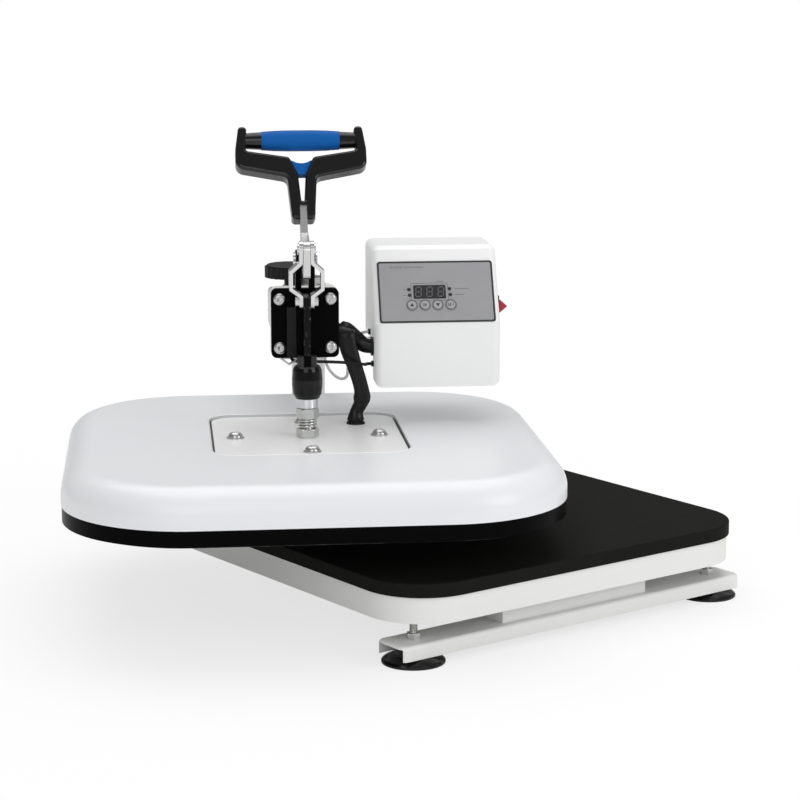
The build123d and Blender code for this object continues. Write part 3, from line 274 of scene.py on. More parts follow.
def flat_shape(outline, low, high, place):
    """A thin plate: the outline at two heights, with both faces and the rim."""
    outline = np.asarray(outline, float)
    n = len(outline)
    bottom = np.column_stack([outline, np.full(n, low)])
    top = np.column_stack([outline, np.full(n, high)])
    points = place(np.concatenate([bottom, top]))
    faces = [list(range(n))[::-1], [n + i for i in range(n)]]
    faces += [[i, (i + 1) % n, n + (i + 1) % n, n + i] for i in range(n)]
    return points, faces


def ring_shape(outer, inner, low, high, place):
    """A flat ring between two outlines of equal count."""
    outer = np.asarray(outer, float)
    inner = np.asarray(inner, float)
    n = len(outer)
    levels = [(outer, low), (outer, high), (inner, high), (inner, low)]
    grid = np.stack([np.column_stack([o, np.full(n, z)]) for o, z in levels])
    return place(grid.reshape(-1, 3)), grid_faces(4, n, wrap_rows=True)


def rounded(width, height, radius, steps=8, centre=(0.0, 0.0)):
    """The outline of a rounded rectangle: four quarter circles at the inset corners."""
    a = np.linspace(0.0, np.pi / 2, steps)
    corner = np.column_stack([np.cos(a), np.sin(a)]) * radius
    out = []
    for k, (sx, sy) in enumerate(((1, 1), (-1, 1), (-1, -1), (1, -1))):
        c = math.cos(k * math.pi / 2)
        s = math.sin(k * math.pi / 2)
        turned = corner @ np.array([[c, s], [-s, c]])
        out.append(turned + [sx * (width / 2 - radius), sy * (height / 2 - radius)])
    return np.concatenate(out) + np.asarray(centre)


def ramp(value, low, run):
    """(value - low) / run, held between 0 and 1; with a negative run it rises below low."""
    return np.clip((value - low) / run, 0.0, 1.0)


def circle(radius, centre=(0.0, 0.0), steps=32):
    """The outline of a circle: centre + r (cos a, sin a)."""
    a = np.linspace(0.0, 2 * np.pi, steps, endpoint=False)
    return np.column_stack([np.cos(a), np.sin(a)]) * radius + np.asarray(centre)


def skin(grid):
    """A grid of points with its faces, as joined takes them."""
    return grid, grid_faces(*grid.shape[:2])


def joined(name, shapes, material, body, sharp=35.0):
    """One object made of several point and face lists, riding on a body."""
    points = []
    faces = []
    start = 0
    for p, f in shapes:
        p = np.asarray(p, float).reshape(-1, 3)
        points.append(p)
        faces += [[int(i) + start for i in face] for face in f]
        start += len(p)
    thing = new_mesh(name, np.concatenate(points), faces, material, sharp)
    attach(thing, body)
    return thing


class Wiring:
    """Short words for adding and linking shader nodes in one node tree."""

    def __init__(self, tree):
        self.nodes = tree.nodes
        self.links = tree.links

    def add(self, kind, **values):
        node = self.nodes.new(kind)
        for key, value in values.items():
            setattr(node, key, value)
        return node

    def link(self, a, b):
        self.links.new(a, b)

    def noise(self, vector, scale, detail=3.0, roughness=0.55):
        node = self.add("ShaderNodeTexNoise")
        if isinstance(scale, (int, float)):
            node.inputs["Scale"].default_value = scale
        else:
            self.link(scale, node.inputs["Scale"])
        node.inputs["Detail"].default_value = detail
        node.inputs["Roughness"].default_value = roughness
        self.link(vector, node.inputs["Vector"])
        return node.outputs["Fac"]

    def math(self, kind, a, b=0.0, clamp=False):
        node = self.add("ShaderNodeMath", operation=kind, use_clamp=clamp)
        for socket, value in zip(node.inputs, (a, b)):
            if isinstance(value, (int, float)):
                socket.default_value = value
            else:
                self.link(value, socket)
        return node.outputs[0]

    def spread(self, value, amount):
        """amount (value - 0.5)"""
        return self.math("MULTIPLY", self.math("SUBTRACT", value, 0.5), amount)

    def ranged(self, value, low, high, to_low, to_high):
        node = self.add("ShaderNodeMapRange")
        ends = (("From Min", low), ("From Max", high), ("To Min", to_low), ("To Max", to_high))
        for key, end in ends:
            node.inputs[key].default_value = end
        self.link(value, node.inputs["Value"])
        return node.outputs["Result"]

    def mix(self, factor, a, b):
        node = self.add("ShaderNodeMix", data_type="RGBA")
        rgba = [s for s in node.inputs if s.type == "RGBA"]
        for socket, value in zip([node.inputs[0]] + rgba, (factor, a, b)):
            if isinstance(value, (int, float)):
                socket.default_value = value
            elif isinstance(value, (tuple, list)):
                socket.default_value = (*value[:3], 1.0)
            else:
                self.link(value, socket)
        return [s for s in node.outputs if s.type == "RGBA"][0]


COLOUR = "NodeSocketColor"
NUMBER = "NodeSocketFloat"
OUTPUTS = (("Colour", COLOUR), ("Roughness", NUMBER), ("Height", NUMBER))


def new_group(name, inputs):
    """An empty shader node group with the three outputs; returns it with its wiring and ends."""
    group = bpy.data.node_groups.new(name, "ShaderNodeTree")
    for label, kind, default in inputs:
        socket = group.interface.new_socket(label, in_out="INPUT", socket_type=kind)
        socket.default_value = (*default, 1.0) if kind == COLOUR else default
    for label, kind in OUTPUTS:
        group.interface.new_socket(label, in_out="OUTPUT", socket_type=kind)
    w = Wiring(group)
    return group, w, w.add("NodeGroupInput"), w.add("NodeGroupOutput")


def sprayed_coat_group():
    """Orange peel: fine noise for the height, slow noise for tone and gloss, dust where it faces up."""
    group, w, start, end = new_group(
        "sprayed_coat",
        [("Colour", COLOUR, (0.8, 0.8, 0.8)), ("Dust", COLOUR, (0.6, 0.58, 0.55)),
         ("Peel Scale", NUMBER, 900.0), ("Tone", NUMBER, 0.03), ("Roughness", NUMBER, 0.3),
         ("Spread", NUMBER, 0.08), ("Dust Amount", NUMBER, 0.1)])
    at = w.add("ShaderNodeTexCoord").outputs["Object"]
    peel = w.noise(at, start.outputs["Peel Scale"], 2.0)
    cloud = w.noise(at, 9.0, 4.0)
    specks = w.noise(at, 260.0, 5.0, 0.7)
    facing = w.add("ShaderNodeSeparateXYZ")
    w.link(w.add("ShaderNodeNewGeometry").outputs["Normal"], facing.inputs[0])
    up = w.ranged(facing.outputs[2], 0.6, 1.0, 0.0, 1.0)
    thick = w.ranged(specks, 0.45, 0.75, 0.2, 1.0)
    dusty = w.math("MULTIPLY", w.ranged(cloud, 0.42, 0.7, 0.0, 1.0), thick)
    dusty = w.math("MULTIPLY", w.math("MULTIPLY", dusty, up), start.outputs["Dust Amount"], True)
    shade = w.spread(cloud, start.outputs["Tone"])
    bright = w.add("ShaderNodeHueSaturation")
    w.link(start.outputs["Colour"], bright.inputs["Color"])
    w.link(w.math("ADD", shade, 1.0), bright.inputs["Value"])
    w.link(w.mix(dusty, bright.outputs[0], start.outputs["Dust"]), end.inputs["Colour"])
    change = w.spread(specks, start.outputs["Spread"])
    rough = w.math("ADD", start.outputs["Roughness"], change)
    w.link(w.math("ADD", rough, w.math("MULTIPLY", dusty, 0.5), True), end.inputs["Roughness"])
    w.link(w.math("ADD", peel, w.math("MULTIPLY", dusty, 0.3)), end.inputs["Height"])
    return group


def machined_group():
    """Turned or brushed metal: noise stretched along one axis, with spots and faint stains."""
    group, w, start, end = new_group(
        "machined_metal",
        [("Colour", COLOUR, (0.6, 0.6, 0.6)), ("Stain", COLOUR, (0.35, 0.33, 0.3)),
         ("Line Scale", NUMBER, 1.0), ("Stain Amount", NUMBER, 0.2), ("Roughness", NUMBER, 0.25),
         ("Spread", NUMBER, 0.2)])
    at = w.add("ShaderNodeTexCoord").outputs["Object"]
    long = w.add("ShaderNodeMapping")
    long.inputs["Scale"].default_value = (60.0, 60.0, 1800.0)
    w.link(at, long.inputs["Vector"])
    lines = w.noise(long.outputs[0], start.outputs["Line Scale"], 3.0, 0.6)
    blotch = w.noise(at, 130.0, 4.0, 0.65)
    mask = w.math("MULTIPLY", w.ranged(blotch, 0.5, 0.72, 0.0, 1.0), start.outputs["Stain Amount"], True)
    w.link(w.mix(mask, start.outputs["Colour"], start.outputs["Stain"]), end.inputs["Colour"])
    change = w.spread(lines, start.outputs["Spread"])
    rough = w.math("ADD", start.outputs["Roughness"], change)
    w.link(w.math("ADD", rough, w.math("MULTIPLY", mask, 0.4), True), end.inputs["Roughness"])
    w.link(lines, end.inputs["Height"])
    return group


def moulded_group():
    """Moulded plastic or rubber: a cell grain for the height and slow wear of tone and gloss."""
    group, w, start, end = new_group(
        "moulded_grain",
        [("Colour", COLOUR, (0.1, 0.1, 0.1)), ("Worn", COLOUR, (0.2, 0.2, 0.2)),
         ("Grain Scale", NUMBER, 1200.0), ("Wear", NUMBER, 0.2), ("Roughness", NUMBER, 0.5),
         ("Spread", NUMBER, 0.15)])
    at = w.add("ShaderNodeTexCoord").outputs["Object"]
    cells = w.add("ShaderNodeTexVoronoi")
    w.link(at, cells.inputs["Vector"])
    w.link(start.outputs["Grain Scale"], cells.inputs["Scale"])
    wear = w.noise(at, 70.0, 5.0, 0.65)
    mask = w.math("MULTIPLY", w.ranged(wear, 0.48, 0.7, 0.0, 1.0), start.outputs["Wear"], True)
    w.link(w.mix(mask, start.outputs["Colour"], start.outputs["Worn"]), end.inputs["Colour"])
    change = w.spread(wear, start.outputs["Spread"])
    w.link(w.math("ADD", start.outputs["Roughness"], change, True), end.inputs["Roughness"])
    w.link(cells.outputs["Distance"], end.inputs["Height"])
    return group


GROUPS = {}
MATERIALS = {}
RELIEF = 0.0001


def new_material(name):
    """A material with nodes, its wiring and its Principled BSDF."""
    material = bpy.data.materials.new(name)
    material.use_nodes = True
    return material, Wiring(material.node_tree), material.node_tree.nodes["Principled BSDF"]


def finish_of(name, make_group, values, bump, constants):
    """A material: one group's colour, roughness and height into a Principled BSDF. RELIEF is the
    height in metres that a bump of 1 stands for."""
    if name in MATERIALS:
        return MATERIALS[name]
    if make_group not in GROUPS:
        GROUPS[make_group] = make_group()
    material, w, shader = new_material(name)
    effect = w.add("ShaderNodeGroup", node_tree=GROUPS[make_group])
    for key, value in values.items():
        effect.inputs[key].default_value = (*value, 1.0) if isinstance(value, tuple) else value
    w.link(effect.outputs["Colour"], shader.inputs["Base Color"])
    w.link(effect.outputs["Roughness"], shader.inputs["Roughness"])
    relief = w.add("ShaderNodeBump")
    relief.inputs["Strength"].default_value = bump
    relief.inputs["Distance"].default_value = RELIEF
    w.link(effect.outputs["Height"], relief.inputs["Height"])
    w.link(relief.outputs["Normal"], shader.inputs["Normal"])
    for key, value in constants.items():
        shader.inputs[key].default_value = value
    MATERIALS[name] = material
    return material


def sprayed(name, colour, roughness, dust=0.08, peel=900.0, bump=0.12, coat=0.0, tone=0.03, shine=0.5):
    return finish_of(name, sprayed_coat_group,
                     {"Colour": colour, "Roughness": roughness, "Dust Amount": dust, "Peel Scale": peel,
                      "Tone": tone}, bump,
                     {"Coat Weight": coat, "Coat Roughness": 0.08, "Specular IOR Level": shine})


def machined(name, colour, roughness, stain=0.15, lines=1.0, bump=0.1, spread=0.2):
    return finish_of(name, machined_group,
                     {"Colour": colour, "Roughness": roughness, "Stain Amount": stain, "Line Scale": lines,
                      "Spread": spread}, bump, {"Metallic": 1.0})


def moulded(name, colour, roughness, wear_and_highlight=None, grain=1200.0, wear=0.15, bump=0.15, coat=0.0, shine=0.5):
    wear_and_highlight = wear_and_highlight or tuple(min(1.0, c * 1.5 + 0.002) for c in colour)
    return finish_of(name, moulded_group,
                     {"Colour": colour, "Worn": wear_and_highlight, "Roughness": roughness, "Grain Scale": grain,
                      "Wear": wear}, bump,
                     {"Coat Weight": coat, "Coat Roughness": 0.15, "Specular IOR Level": shine})


def over_colour(material):
    """For a layer over a finish: the wiring, the base colour's socket, what feeds it and the
    object coordinates."""
    w = Wiring(material.node_tree)
    base = material.node_tree.nodes["Principled BSDF"].inputs["Base Color"]
    return w, base, base.links[0].from_socket, w.add("ShaderNodeTexCoord").outputs["Object"]


def blackened_above(material, level, colour, edges):
    """Turns a metal black above a level in mm over the floor: the base colour goes from the
    metal's own to black, with its own showing through as wear where noise is strongest."""
    level = (level - PAD_TOP) / 1000.0
    w, base, own, at = over_colour(material)
    parts = w.add("ShaderNodeSeparateXYZ")
    w.link(at, parts.inputs[0])
    above = w.ranged(parts.outputs[2], level, level + 0.0004, 0.0, 1.0)
    wear_and_highlight = w.ranged(w.noise(at, 220.0, 4.0), 0.55, 0.75, 1.0, 1.0 - edges)
    w.link(w.mix(w.math("MULTIPLY", above, wear_and_highlight), own, colour), base)
    return material


def painted_guide_highlight(material, colour):
    """Paints a highlight on the two upright guides of the clamp: their front faces are made lighter
    where light glints on them, by a mask that is 1 where the distance from the arm's middle plane is between
    the slot's edge and the guide's edge, in front of the body.
    The distance is POST_X + (x - POST_X) cos S + (y - POST_Y) sin S."""
    w, base, own, at = over_colour(material)
    c = math.cos(SWING)
    s = math.sin(SWING)
    middle = np.array([POST_X - POST_X * c - POST_Y * s, POST_Y + POST_X * s - POST_Y * c]) / 1000.0
    aside = w.add("ShaderNodeVectorMath", operation="DOT_PRODUCT")
    aside.inputs[1].default_value = (c, s, 0.0)
    back = w.add("ShaderNodeVectorMath", operation="DOT_PRODUCT")
    back.inputs[1].default_value = (-s, c, 0.0)
    w.link(at, aside.inputs[0])
    w.link(at, back.inputs[0])
    far = w.math("ABSOLUTE", w.math("ADD", aside.outputs["Value"], float(middle[0])))
    deep = w.math("ADD", back.outputs["Value"], float(middle[1]))
    past_slot = w.ranged(far, 0.0030, 0.0034, 0.0, 1.0)
    band = w.math("MULTIPLY", past_slot, w.ranged(far, 0.0080, 0.0086, 1.0, 0.0))
    front = w.math("MULTIPLY", band, w.ranged(deep, 0.0, 0.004, 1.0, 0.0))
    streaks = w.add("ShaderNodeMapping")
    streaks.inputs["Scale"].default_value = (900.0, 900.0, 40.0)
    w.link(at, streaks.inputs["Vector"])
    # Vertical streaks of noise break up the painted highlight on the guides.
    wear_and_highlight = w.ranged(w.noise(streaks.outputs[0], 1.0), 0.35, 0.65, 0.45, 1.0)
    w.link(w.mix(w.math("MULTIPLY", front, wear_and_highlight), own, colour), base)
    return material


def dress(material, *nodes):
    """Puts one material on every slot of the named nodes."""
    for node in nodes:
        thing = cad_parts[node]
        thing.data.materials.clear()
        thing.data.materials.append(material)


class PaintSettings(bpy.types.PropertyGroup):
    """Colours of the painted, moulded and rubber parts."""

    enamel: bpy.props.FloatVectorProperty(
        name="Enamel", description="Cover", default=(0.76, 0.77, 0.79), size=3, subtype="COLOR")
    # The plate colour is set lighter than the cover's enamel to make up for the shadow that the box and clamp
    # cast on the access plate: painted light. The control box shares this colour.
    plate: bpy.props.FloatVectorProperty(
        name="Plate", description="Access plate and control box", default=(0.84, 0.845, 0.84), size=3,
        subtype="COLOR")
    powder: bpy.props.FloatVectorProperty(
        name="Powder coat", description="Tray, rails, post and arm", default=(0.76, 0.765, 0.745), size=3,
        subtype="COLOR")
    pad: bpy.props.FloatVectorProperty(
        name="Pad", description="Silicone pressing pad", default=(0.0055, 0.0055, 0.0045), size=3,
        subtype="COLOR")
    grip: bpy.props.FloatVectorProperty(
        name="Grip", description="Grip sleeve and handle web", default=(0.004, 0.098, 0.36), size=3,
        subtype="COLOR")
    rocker: bpy.props.FloatVectorProperty(
        name="Rocker", description="Power rocker", default=(0.42, 0.006, 0.035), size=3,
        subtype="COLOR")


class LeadSettings(bpy.types.PropertyGroup):
    """Sizes of the leads."""

    sleeve: bpy.props.FloatProperty(
        name="Sleeve", description="Diameter of the heater sleeve", default=0.012, unit="LENGTH")
    thin: bpy.props.FloatProperty(
        name="Thin leads", description="Diameter of the switch and earth leads", default=0.0028,
        unit="LENGTH")


class StageSettings(bpy.types.PropertyGroup):
    """Floor, lamps and camera."""

    floor: bpy.props.FloatProperty(
        name="Floor", description="Half the width of the floor", default=6.0, unit="LENGTH")
    lens: bpy.props.FloatProperty(
        name="Lens", description="Focal length on a 36 mm sensor", default=103.37, unit="CAMERA")


def curve_of(name, route, diameter, material):
    """A smooth NURBS curve with the route as its control points."""
    curve = bpy.data.curves.new(name, "CURVE")
    curve.dimensions = "3D"
    spline = curve.splines.new("NURBS")
    points = on_arm(route)
    spline.points.add(len(points) - 1)
    spline.points.foreach_set("co", np.column_stack([points, np.ones(len(points))]).ravel())
    spline.order_u = 3
    spline.use_endpoint_u = True
    spline.resolution_u = 12
    curve.bevel_depth = diameter / 2
    curve.bevel_resolution = 4
    curve.use_fill_caps = True
    thing = bpy.data.objects.new(name, curve)
    bpy.context.scene.collection.objects.link(thing)
    if material:
        curve.materials.append(material)
    return thing


def line_of(name, route):
    """Points along the route's NURBS spline, read from a curve with no bevel."""
    guide = curve_of(name, route, 0.0, None)
    bpy.context.view_layer.update()
    mesh = bpy.data.meshes.new_from_object(guide.evaluated_get(bpy.context.evaluated_depsgraph_get()))
    points = np.empty(len(mesh.vertices) * 3)
    mesh.vertices.foreach_get("co", points)
    bpy.data.objects.remove(guide)
    bpy.data.meshes.remove(mesh)
    points = points.reshape(-1, 3)
    steps = np.linalg.norm(np.diff(points, axis=0), axis=1)
    return points[np.concatenate([[True], steps > 1e-6])]


def length_of(points):
    """The sum of the distances between neighbours."""
    return float(np.linalg.norm(np.diff(points, axis=0), axis=1).sum())


def sleeve_section(path, diameter):
    """Scales across and through the sleeve at each point of its path. Across, it is the fold's
    width at first and then SLEEVE_WIDTHS by height; through, it is half as thick as it is round,
    rounder at both ends and a little at the pinch."""
    low, width = np.array(SLEEVE_WIDTHS).T
    share = np.linspace(0.0, 1.0, len(path))
    height = path[:, 2] * 1000.0 + PAD_TOP
    spread = np.where(share < SLEEVE_FOLD_SHARE, SLEEVE_FOLD_WIDTH, np.interp(height, low, width))
    spread += (SLEEVE_GLAND_WIDTH - spread) * ramp(share, SLEEVE_GLAND_SHARE, -SLEEVE_GLAND_SHARE)
    thin = 0.5 + 0.44 * ramp(share, 0.86, 0.1) + 0.3 * ramp(share, 0.1, -0.1)
    thin += 0.16 * np.exp(-((height - SLEEVE_PINCH) / 3.0) ** 2) * (share > 0.4)
    return np.column_stack([spread / (diameter * 1000.0), thin])


class HEATPRESS_OT_leads(bpy.types.Operator):
    """Heater sleeve with its pinch and flared foot, switch lead and earth lead"""

    bl_idname = "heatpress.leads"
    bl_label = "Leads"

    def execute(self, context):
        sizes = context.scene.heatpress_leads
        sleeve = moulded("sleeve_skin", (0.0025, 0.0022, 0.0024), 0.34, grain=700.0, wear=0.25, bump=0.2,
                         shine=0.3)
        path = line_of("sleeve_line", SLEEVE_ROUTE)
        away = on_arm((0.0, 100.0, 0.0)) - on_arm((0.0, 0.0, 0.0))
        squash = sleeve_section(path, sizes.sleeve)
        tube = closed_tube("heater_sleeve_tube", path, sizes.sleeve / 2, sleeve, 32, squash, away)
        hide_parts("heater_sleeve")
        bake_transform(tube)
        black = moulded("thin_black_lead", (0.003, 0.003, 0.003), 0.4, grain=900.0, wear=0.1, shine=0.2)
        grey = moulded("thin_grey_lead", (0.56, 0.56, 0.58), 0.4, grain=900.0, wear=0.1)
        for name, node, route, finish in (("switch_lead_wire", "switch_lead", SWITCH_ROUTE, black),
                                          ("earth_lead_wire", "earth_lead", EARTH_ROUTE, grey)):
            length = length_of(line_of(name + "_line", route))
            wire = curve_of(name, route, sizes.thin, finish)
            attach(wire, "swing_arm")
            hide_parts(node)
        return {"FINISHED"}


class HEATPRESS_OT_paint(bpy.types.Operator):
    """Enamel, powder coat, silicone, metals and plastics on the frame's own parts"""

    bl_idname = "heatpress.paint"
    bl_label = "Paint and metals"

    def execute(self, context):
        paint = context.scene.heatpress_paint
        enamel = sprayed("gloss_enamel", tuple(paint.enamel), 0.36, dust=0.05, bump=0.05, coat=0.08,
                         tone=0.02)
        # Plate and box enamel use the plate colour, which is raised above the cover's to paint light over the
        # shadow on the access plate.
        plate = sprayed("plate_enamel", tuple(paint.plate), 0.30, dust=0.10, bump=0.06, coat=0.15,
                        tone=0.02)
        box = sprayed("box_enamel", tuple(paint.plate), 0.44, dust=0.03, bump=0.08, coat=0.03, tone=0.03)
        powder = sprayed("powder_coat", tuple(paint.powder), 0.46, dust=0.10, peel=1400.0, bump=0.25)
        dress(enamel, "cover_shell")
        dress(plate, "access_plate")
        dress(box, "control_housing", "housing_back")
        dress(powder, "lower_tray", "tray_ribs", "front_rail", "rear_rail", "centre_beam", "post",
              "swing_arm", "box_bracket")
        dress(moulded("silicone_sheet", tuple(paint.pad), 0.8, wear_and_highlight=(0.012, 0.0118, 0.010), grain=1500.0,
                      wear=0.35, bump=0.25, shine=0.15), "pressing_pad")
        dress(moulded("foot_rubber", (0.003, 0.003, 0.003), 0.24, wear_and_highlight=(0.012, 0.012, 0.012), grain=700.0,
                      wear=0.3, bump=0.12, coat=0.1, shine=0.4), "suction_feet")
        dress(moulded("grommet_rubber", (0.003, 0.003, 0.003), 0.45, grain=900.0, shine=0.2),
              "sleeve_grommet")
        dress(sprayed("black_enamel", (0.0012, 0.0012, 0.0014), 0.3, dust=0.0, bump=0.06, tone=0.1,
                      shine=0.03), "heater_band")
        dress(sprayed("black_gloss", (0.001, 0.001, 0.0012), 0.17, dust=0.0, bump=0.03, tone=0.1,
                      shine=0.28), "clamp_barrel")
        cast = sprayed("black_cast", (0.001, 0.001, 0.0011), 0.4, dust=0.0, peel=700.0, bump=0.3, tone=0.1,
                       shine=0.04)
        # The clamp body's guide walls get a painted highlight.
        dress(painted_guide_highlight(cast, (0.055, 0.055, 0.057)), "clamp_body")
        dress(sprayed("handle_black", (0.0035, 0.0035, 0.004), 0.24, dust=0.0, peel=500.0, bump=0.12,
                      coat=0.15, tone=0.1, shine=0.4), "handle_frame", "grip_bar")
        dress(machined("polished_links", (0.72, 0.72, 0.73), 0.24, stain=0.15, bump=0.03), "link_plates",
              "link_pins", "fulcrum_pin", "clamp_screws", "dome_bolts")
        dress(machined("brushed_lever", (0.68, 0.68, 0.67), 0.34, stain=0.2, bump=0.1), "lever_bar")
        rod = machined("chrome_rod", (0.70, 0.70, 0.71), 0.14, stain=0.12, bump=0.03)
        dress(blackened_above(rod, ROD_BLACK_FROM, (0.012, 0.012, 0.013), 0.25), "plunger")
        dress(machined("zinc_plate", (0.66, 0.67, 0.65), 0.32, stain=0.15, bump=0.03, spread=0.1),
              "plunger_nuts", "foot_studs", "frame_bolts", "housing_screws", "handle_rivets",
              "switch_lever")
        dress(machined("turned_steel", (0.50, 0.50, 0.50), 0.3, stain=0.3, lines=0.6, bump=0.3),
              "swing_spindle", "brake_disc", "brake_screw")
        dress(machined("cast_alloy", (0.05, 0.05, 0.05), 0.5, stain=0.35, lines=0.4, bump=0.4),
              "heating_plate")
        dress(machined("bronze_bush", (0.62, 0.42, 0.2), 0.4, stain=0.3), "arm_bushes")
        dress(machined("heater_tube", (0.45, 0.44, 0.43), 0.45, stain=0.4), "heating_element")
        dress(moulded("black_moulding", (0.003, 0.003, 0.003), 0.42, grain=900.0, shine=0.25), "limit_switch",
              "rocker_bezel", "mains_inlet", "lead_glands")
        dress(moulded("knob_moulding", (0.002, 0.002, 0.002), 0.38, grain=800.0, wear=0.25, shine=0.3),
              "brake_knob")
        dress(moulded("knob_top", (0.008, 0.008, 0.008), 0.5, grain=800.0, shine=0.3), "knob_cap")
        dress(moulded("grip_blue", tuple(paint.grip), 0.5, wear_and_highlight=(0.008, 0.12, 0.40), grain=1500.0, wear=0.2,
                      bump=0.12, shine=0.1), "grip_sleeve", "handle_web")
        dress(moulded("rocker_red", tuple(paint.rocker), 0.25, grain=600.0, wear=0.05, bump=0.03, coat=0.2),
              "power_rocker")
        dress(moulded("label_film", (0.30, 0.30, 0.31), 0.42, wear_and_highlight=(0.33, 0.33, 0.34), grain=2200.0, wear=0.3,
                      bump=0.06), "front_label")
        dress(moulded("window_tint", (0.026, 0.026, 0.028), 0.22, grain=300.0, wear=0.1, bump=0.01, coat=0.2),
              "display_window")
        dress(moulded("key_film", (0.34, 0.34, 0.35), 0.4, grain=1500.0, wear=0.2, bump=0.05), "button_up",
              "button_ok", "button_down", "button_set")
        dress(moulded("board_green", (0.01, 0.12, 0.04), 0.4), "circuit_board")
        dress(moulded("fibre_blanket", (0.66, 0.63, 0.56), 0.9, wear_and_highlight=(0.5, 0.47, 0.4), grain=350.0, wear=0.5,
                      bump=0.6), "insulation_blanket")
        return {"FINISHED"}


PANEL_FACE = 0.8
PANEL_CENTRE = (0.0, 29.84)
WINDOW_CENTRE = (-5.95, 29.6)
DIGIT_XS = (-15.9, -6.0, 4.0)
KEYS = (("button_up", -22.3), ("button_ok", -10.8), ("button_down", 0.7), ("button_set", 12.4))
KEY_LEVEL = 16.9
KEY_PROUD = 1.0
CAPTIONS = ((-29.5, 32.1, 2.2), (-29.3, 26.6, 2.0), (16.5, 32.4, 13.0), (16.5, 26.8, 8.0),
            (0.5, 39.6, 6.5))
TICK_ROWS = ((52.2, 54.9, -40.4, -29.0, 1.6), (52.7, 54.3, -27.2, -10.0, 1.15))
LAMP_SPOTS = ((-24.3, 32.1), (-23.9, 26.6), (12.0, 32.4), (12.5, 26.8))
LAMP_PROFILE = ((1.5, 0.0), (1.45, 0.35), (1.2, 0.75), (0.8, 1.0), (0.35, 1.12), (0.0, 1.15))
SEGMENTS = {
    "top": ((-2.3, 4.6), (2.3, 4.6)),
    "middle": ((-2.3, 0.0), (2.3, 0.0)),
    "bottom": ((-2.3, -4.6), (2.3, -4.6)),
    "upper_left": ((-2.55, 0.25), (-2.55, 4.35)),
    "upper_right": ((2.55, 0.25), (2.55, 4.35)),
    "lower_left": ((-2.55, -4.35), (-2.55, -0.25)),
    "lower_right": ((2.55, -4.35), (2.55, -0.25)),
}


def bar(a, b, width):
    """A six-sided bar between two points, pointed at both ends."""
    a = np.asarray(a, float)
    b = np.asarray(b, float)
    along = (b - a) / np.linalg.norm(b - a)
    side = np.array([-along[1], along[0]]) * width / 2
    tip = along * width / 2
    return np.array([a, a + tip - side, b - tip - side, b, b - tip + side, a + tip + side])


LETTERS = {
    "O": (((0.0, 0.0), (0.0, 2.0)), ((1.0, 0.0), (1.0, 2.0)), ((0.0, 0.0), (1.0, 0.0)),
          ((0.0, 2.0), (1.0, 2.0))),
    "K": (((0.0, 0.0), (0.0, 2.0)), ((0.0, 0.9), (1.0, 2.0)), ((0.3, 1.1), (1.0, 0.0))),
    "S": (((0.0, 2.0), (1.0, 2.0)), ((0.0, 1.0), (0.0, 2.0)), ((0.0, 1.0), (1.0, 1.0)),
          ((1.0, 0.0), (1.0, 1.0)), ((0.0, 0.0), (1.0, 0.0))),
    "E": (((0.0, 0.0), (0.0, 2.0)), ((0.0, 2.0), (1.0, 2.0)), ((0.0, 1.0), (0.8, 1.0)),
          ((0.0, 0.0), (1.0, 0.0))),
    "T": (((0.5, 0.0), (0.5, 2.0)), ((0.0, 2.0), (1.0, 2.0))),
}


def word(letters, width=1.35, height=2.5, gap=0.65, stroke=0.42):
    """A word about the origin, every stroke of it a pointed bar."""
    step = width + gap
    left = -(step * len(letters) - gap) / 2
    scale = np.array([width, height / 2])
    bars = []
    for place, letter in enumerate(letters):
        corner = np.array([left + place * step, -height / 2])
        for low, high in LETTERS[letter]:
            bars.append(bar(corner + np.array(low) * scale, corner + np.array(high) * scale, stroke))
    return bars


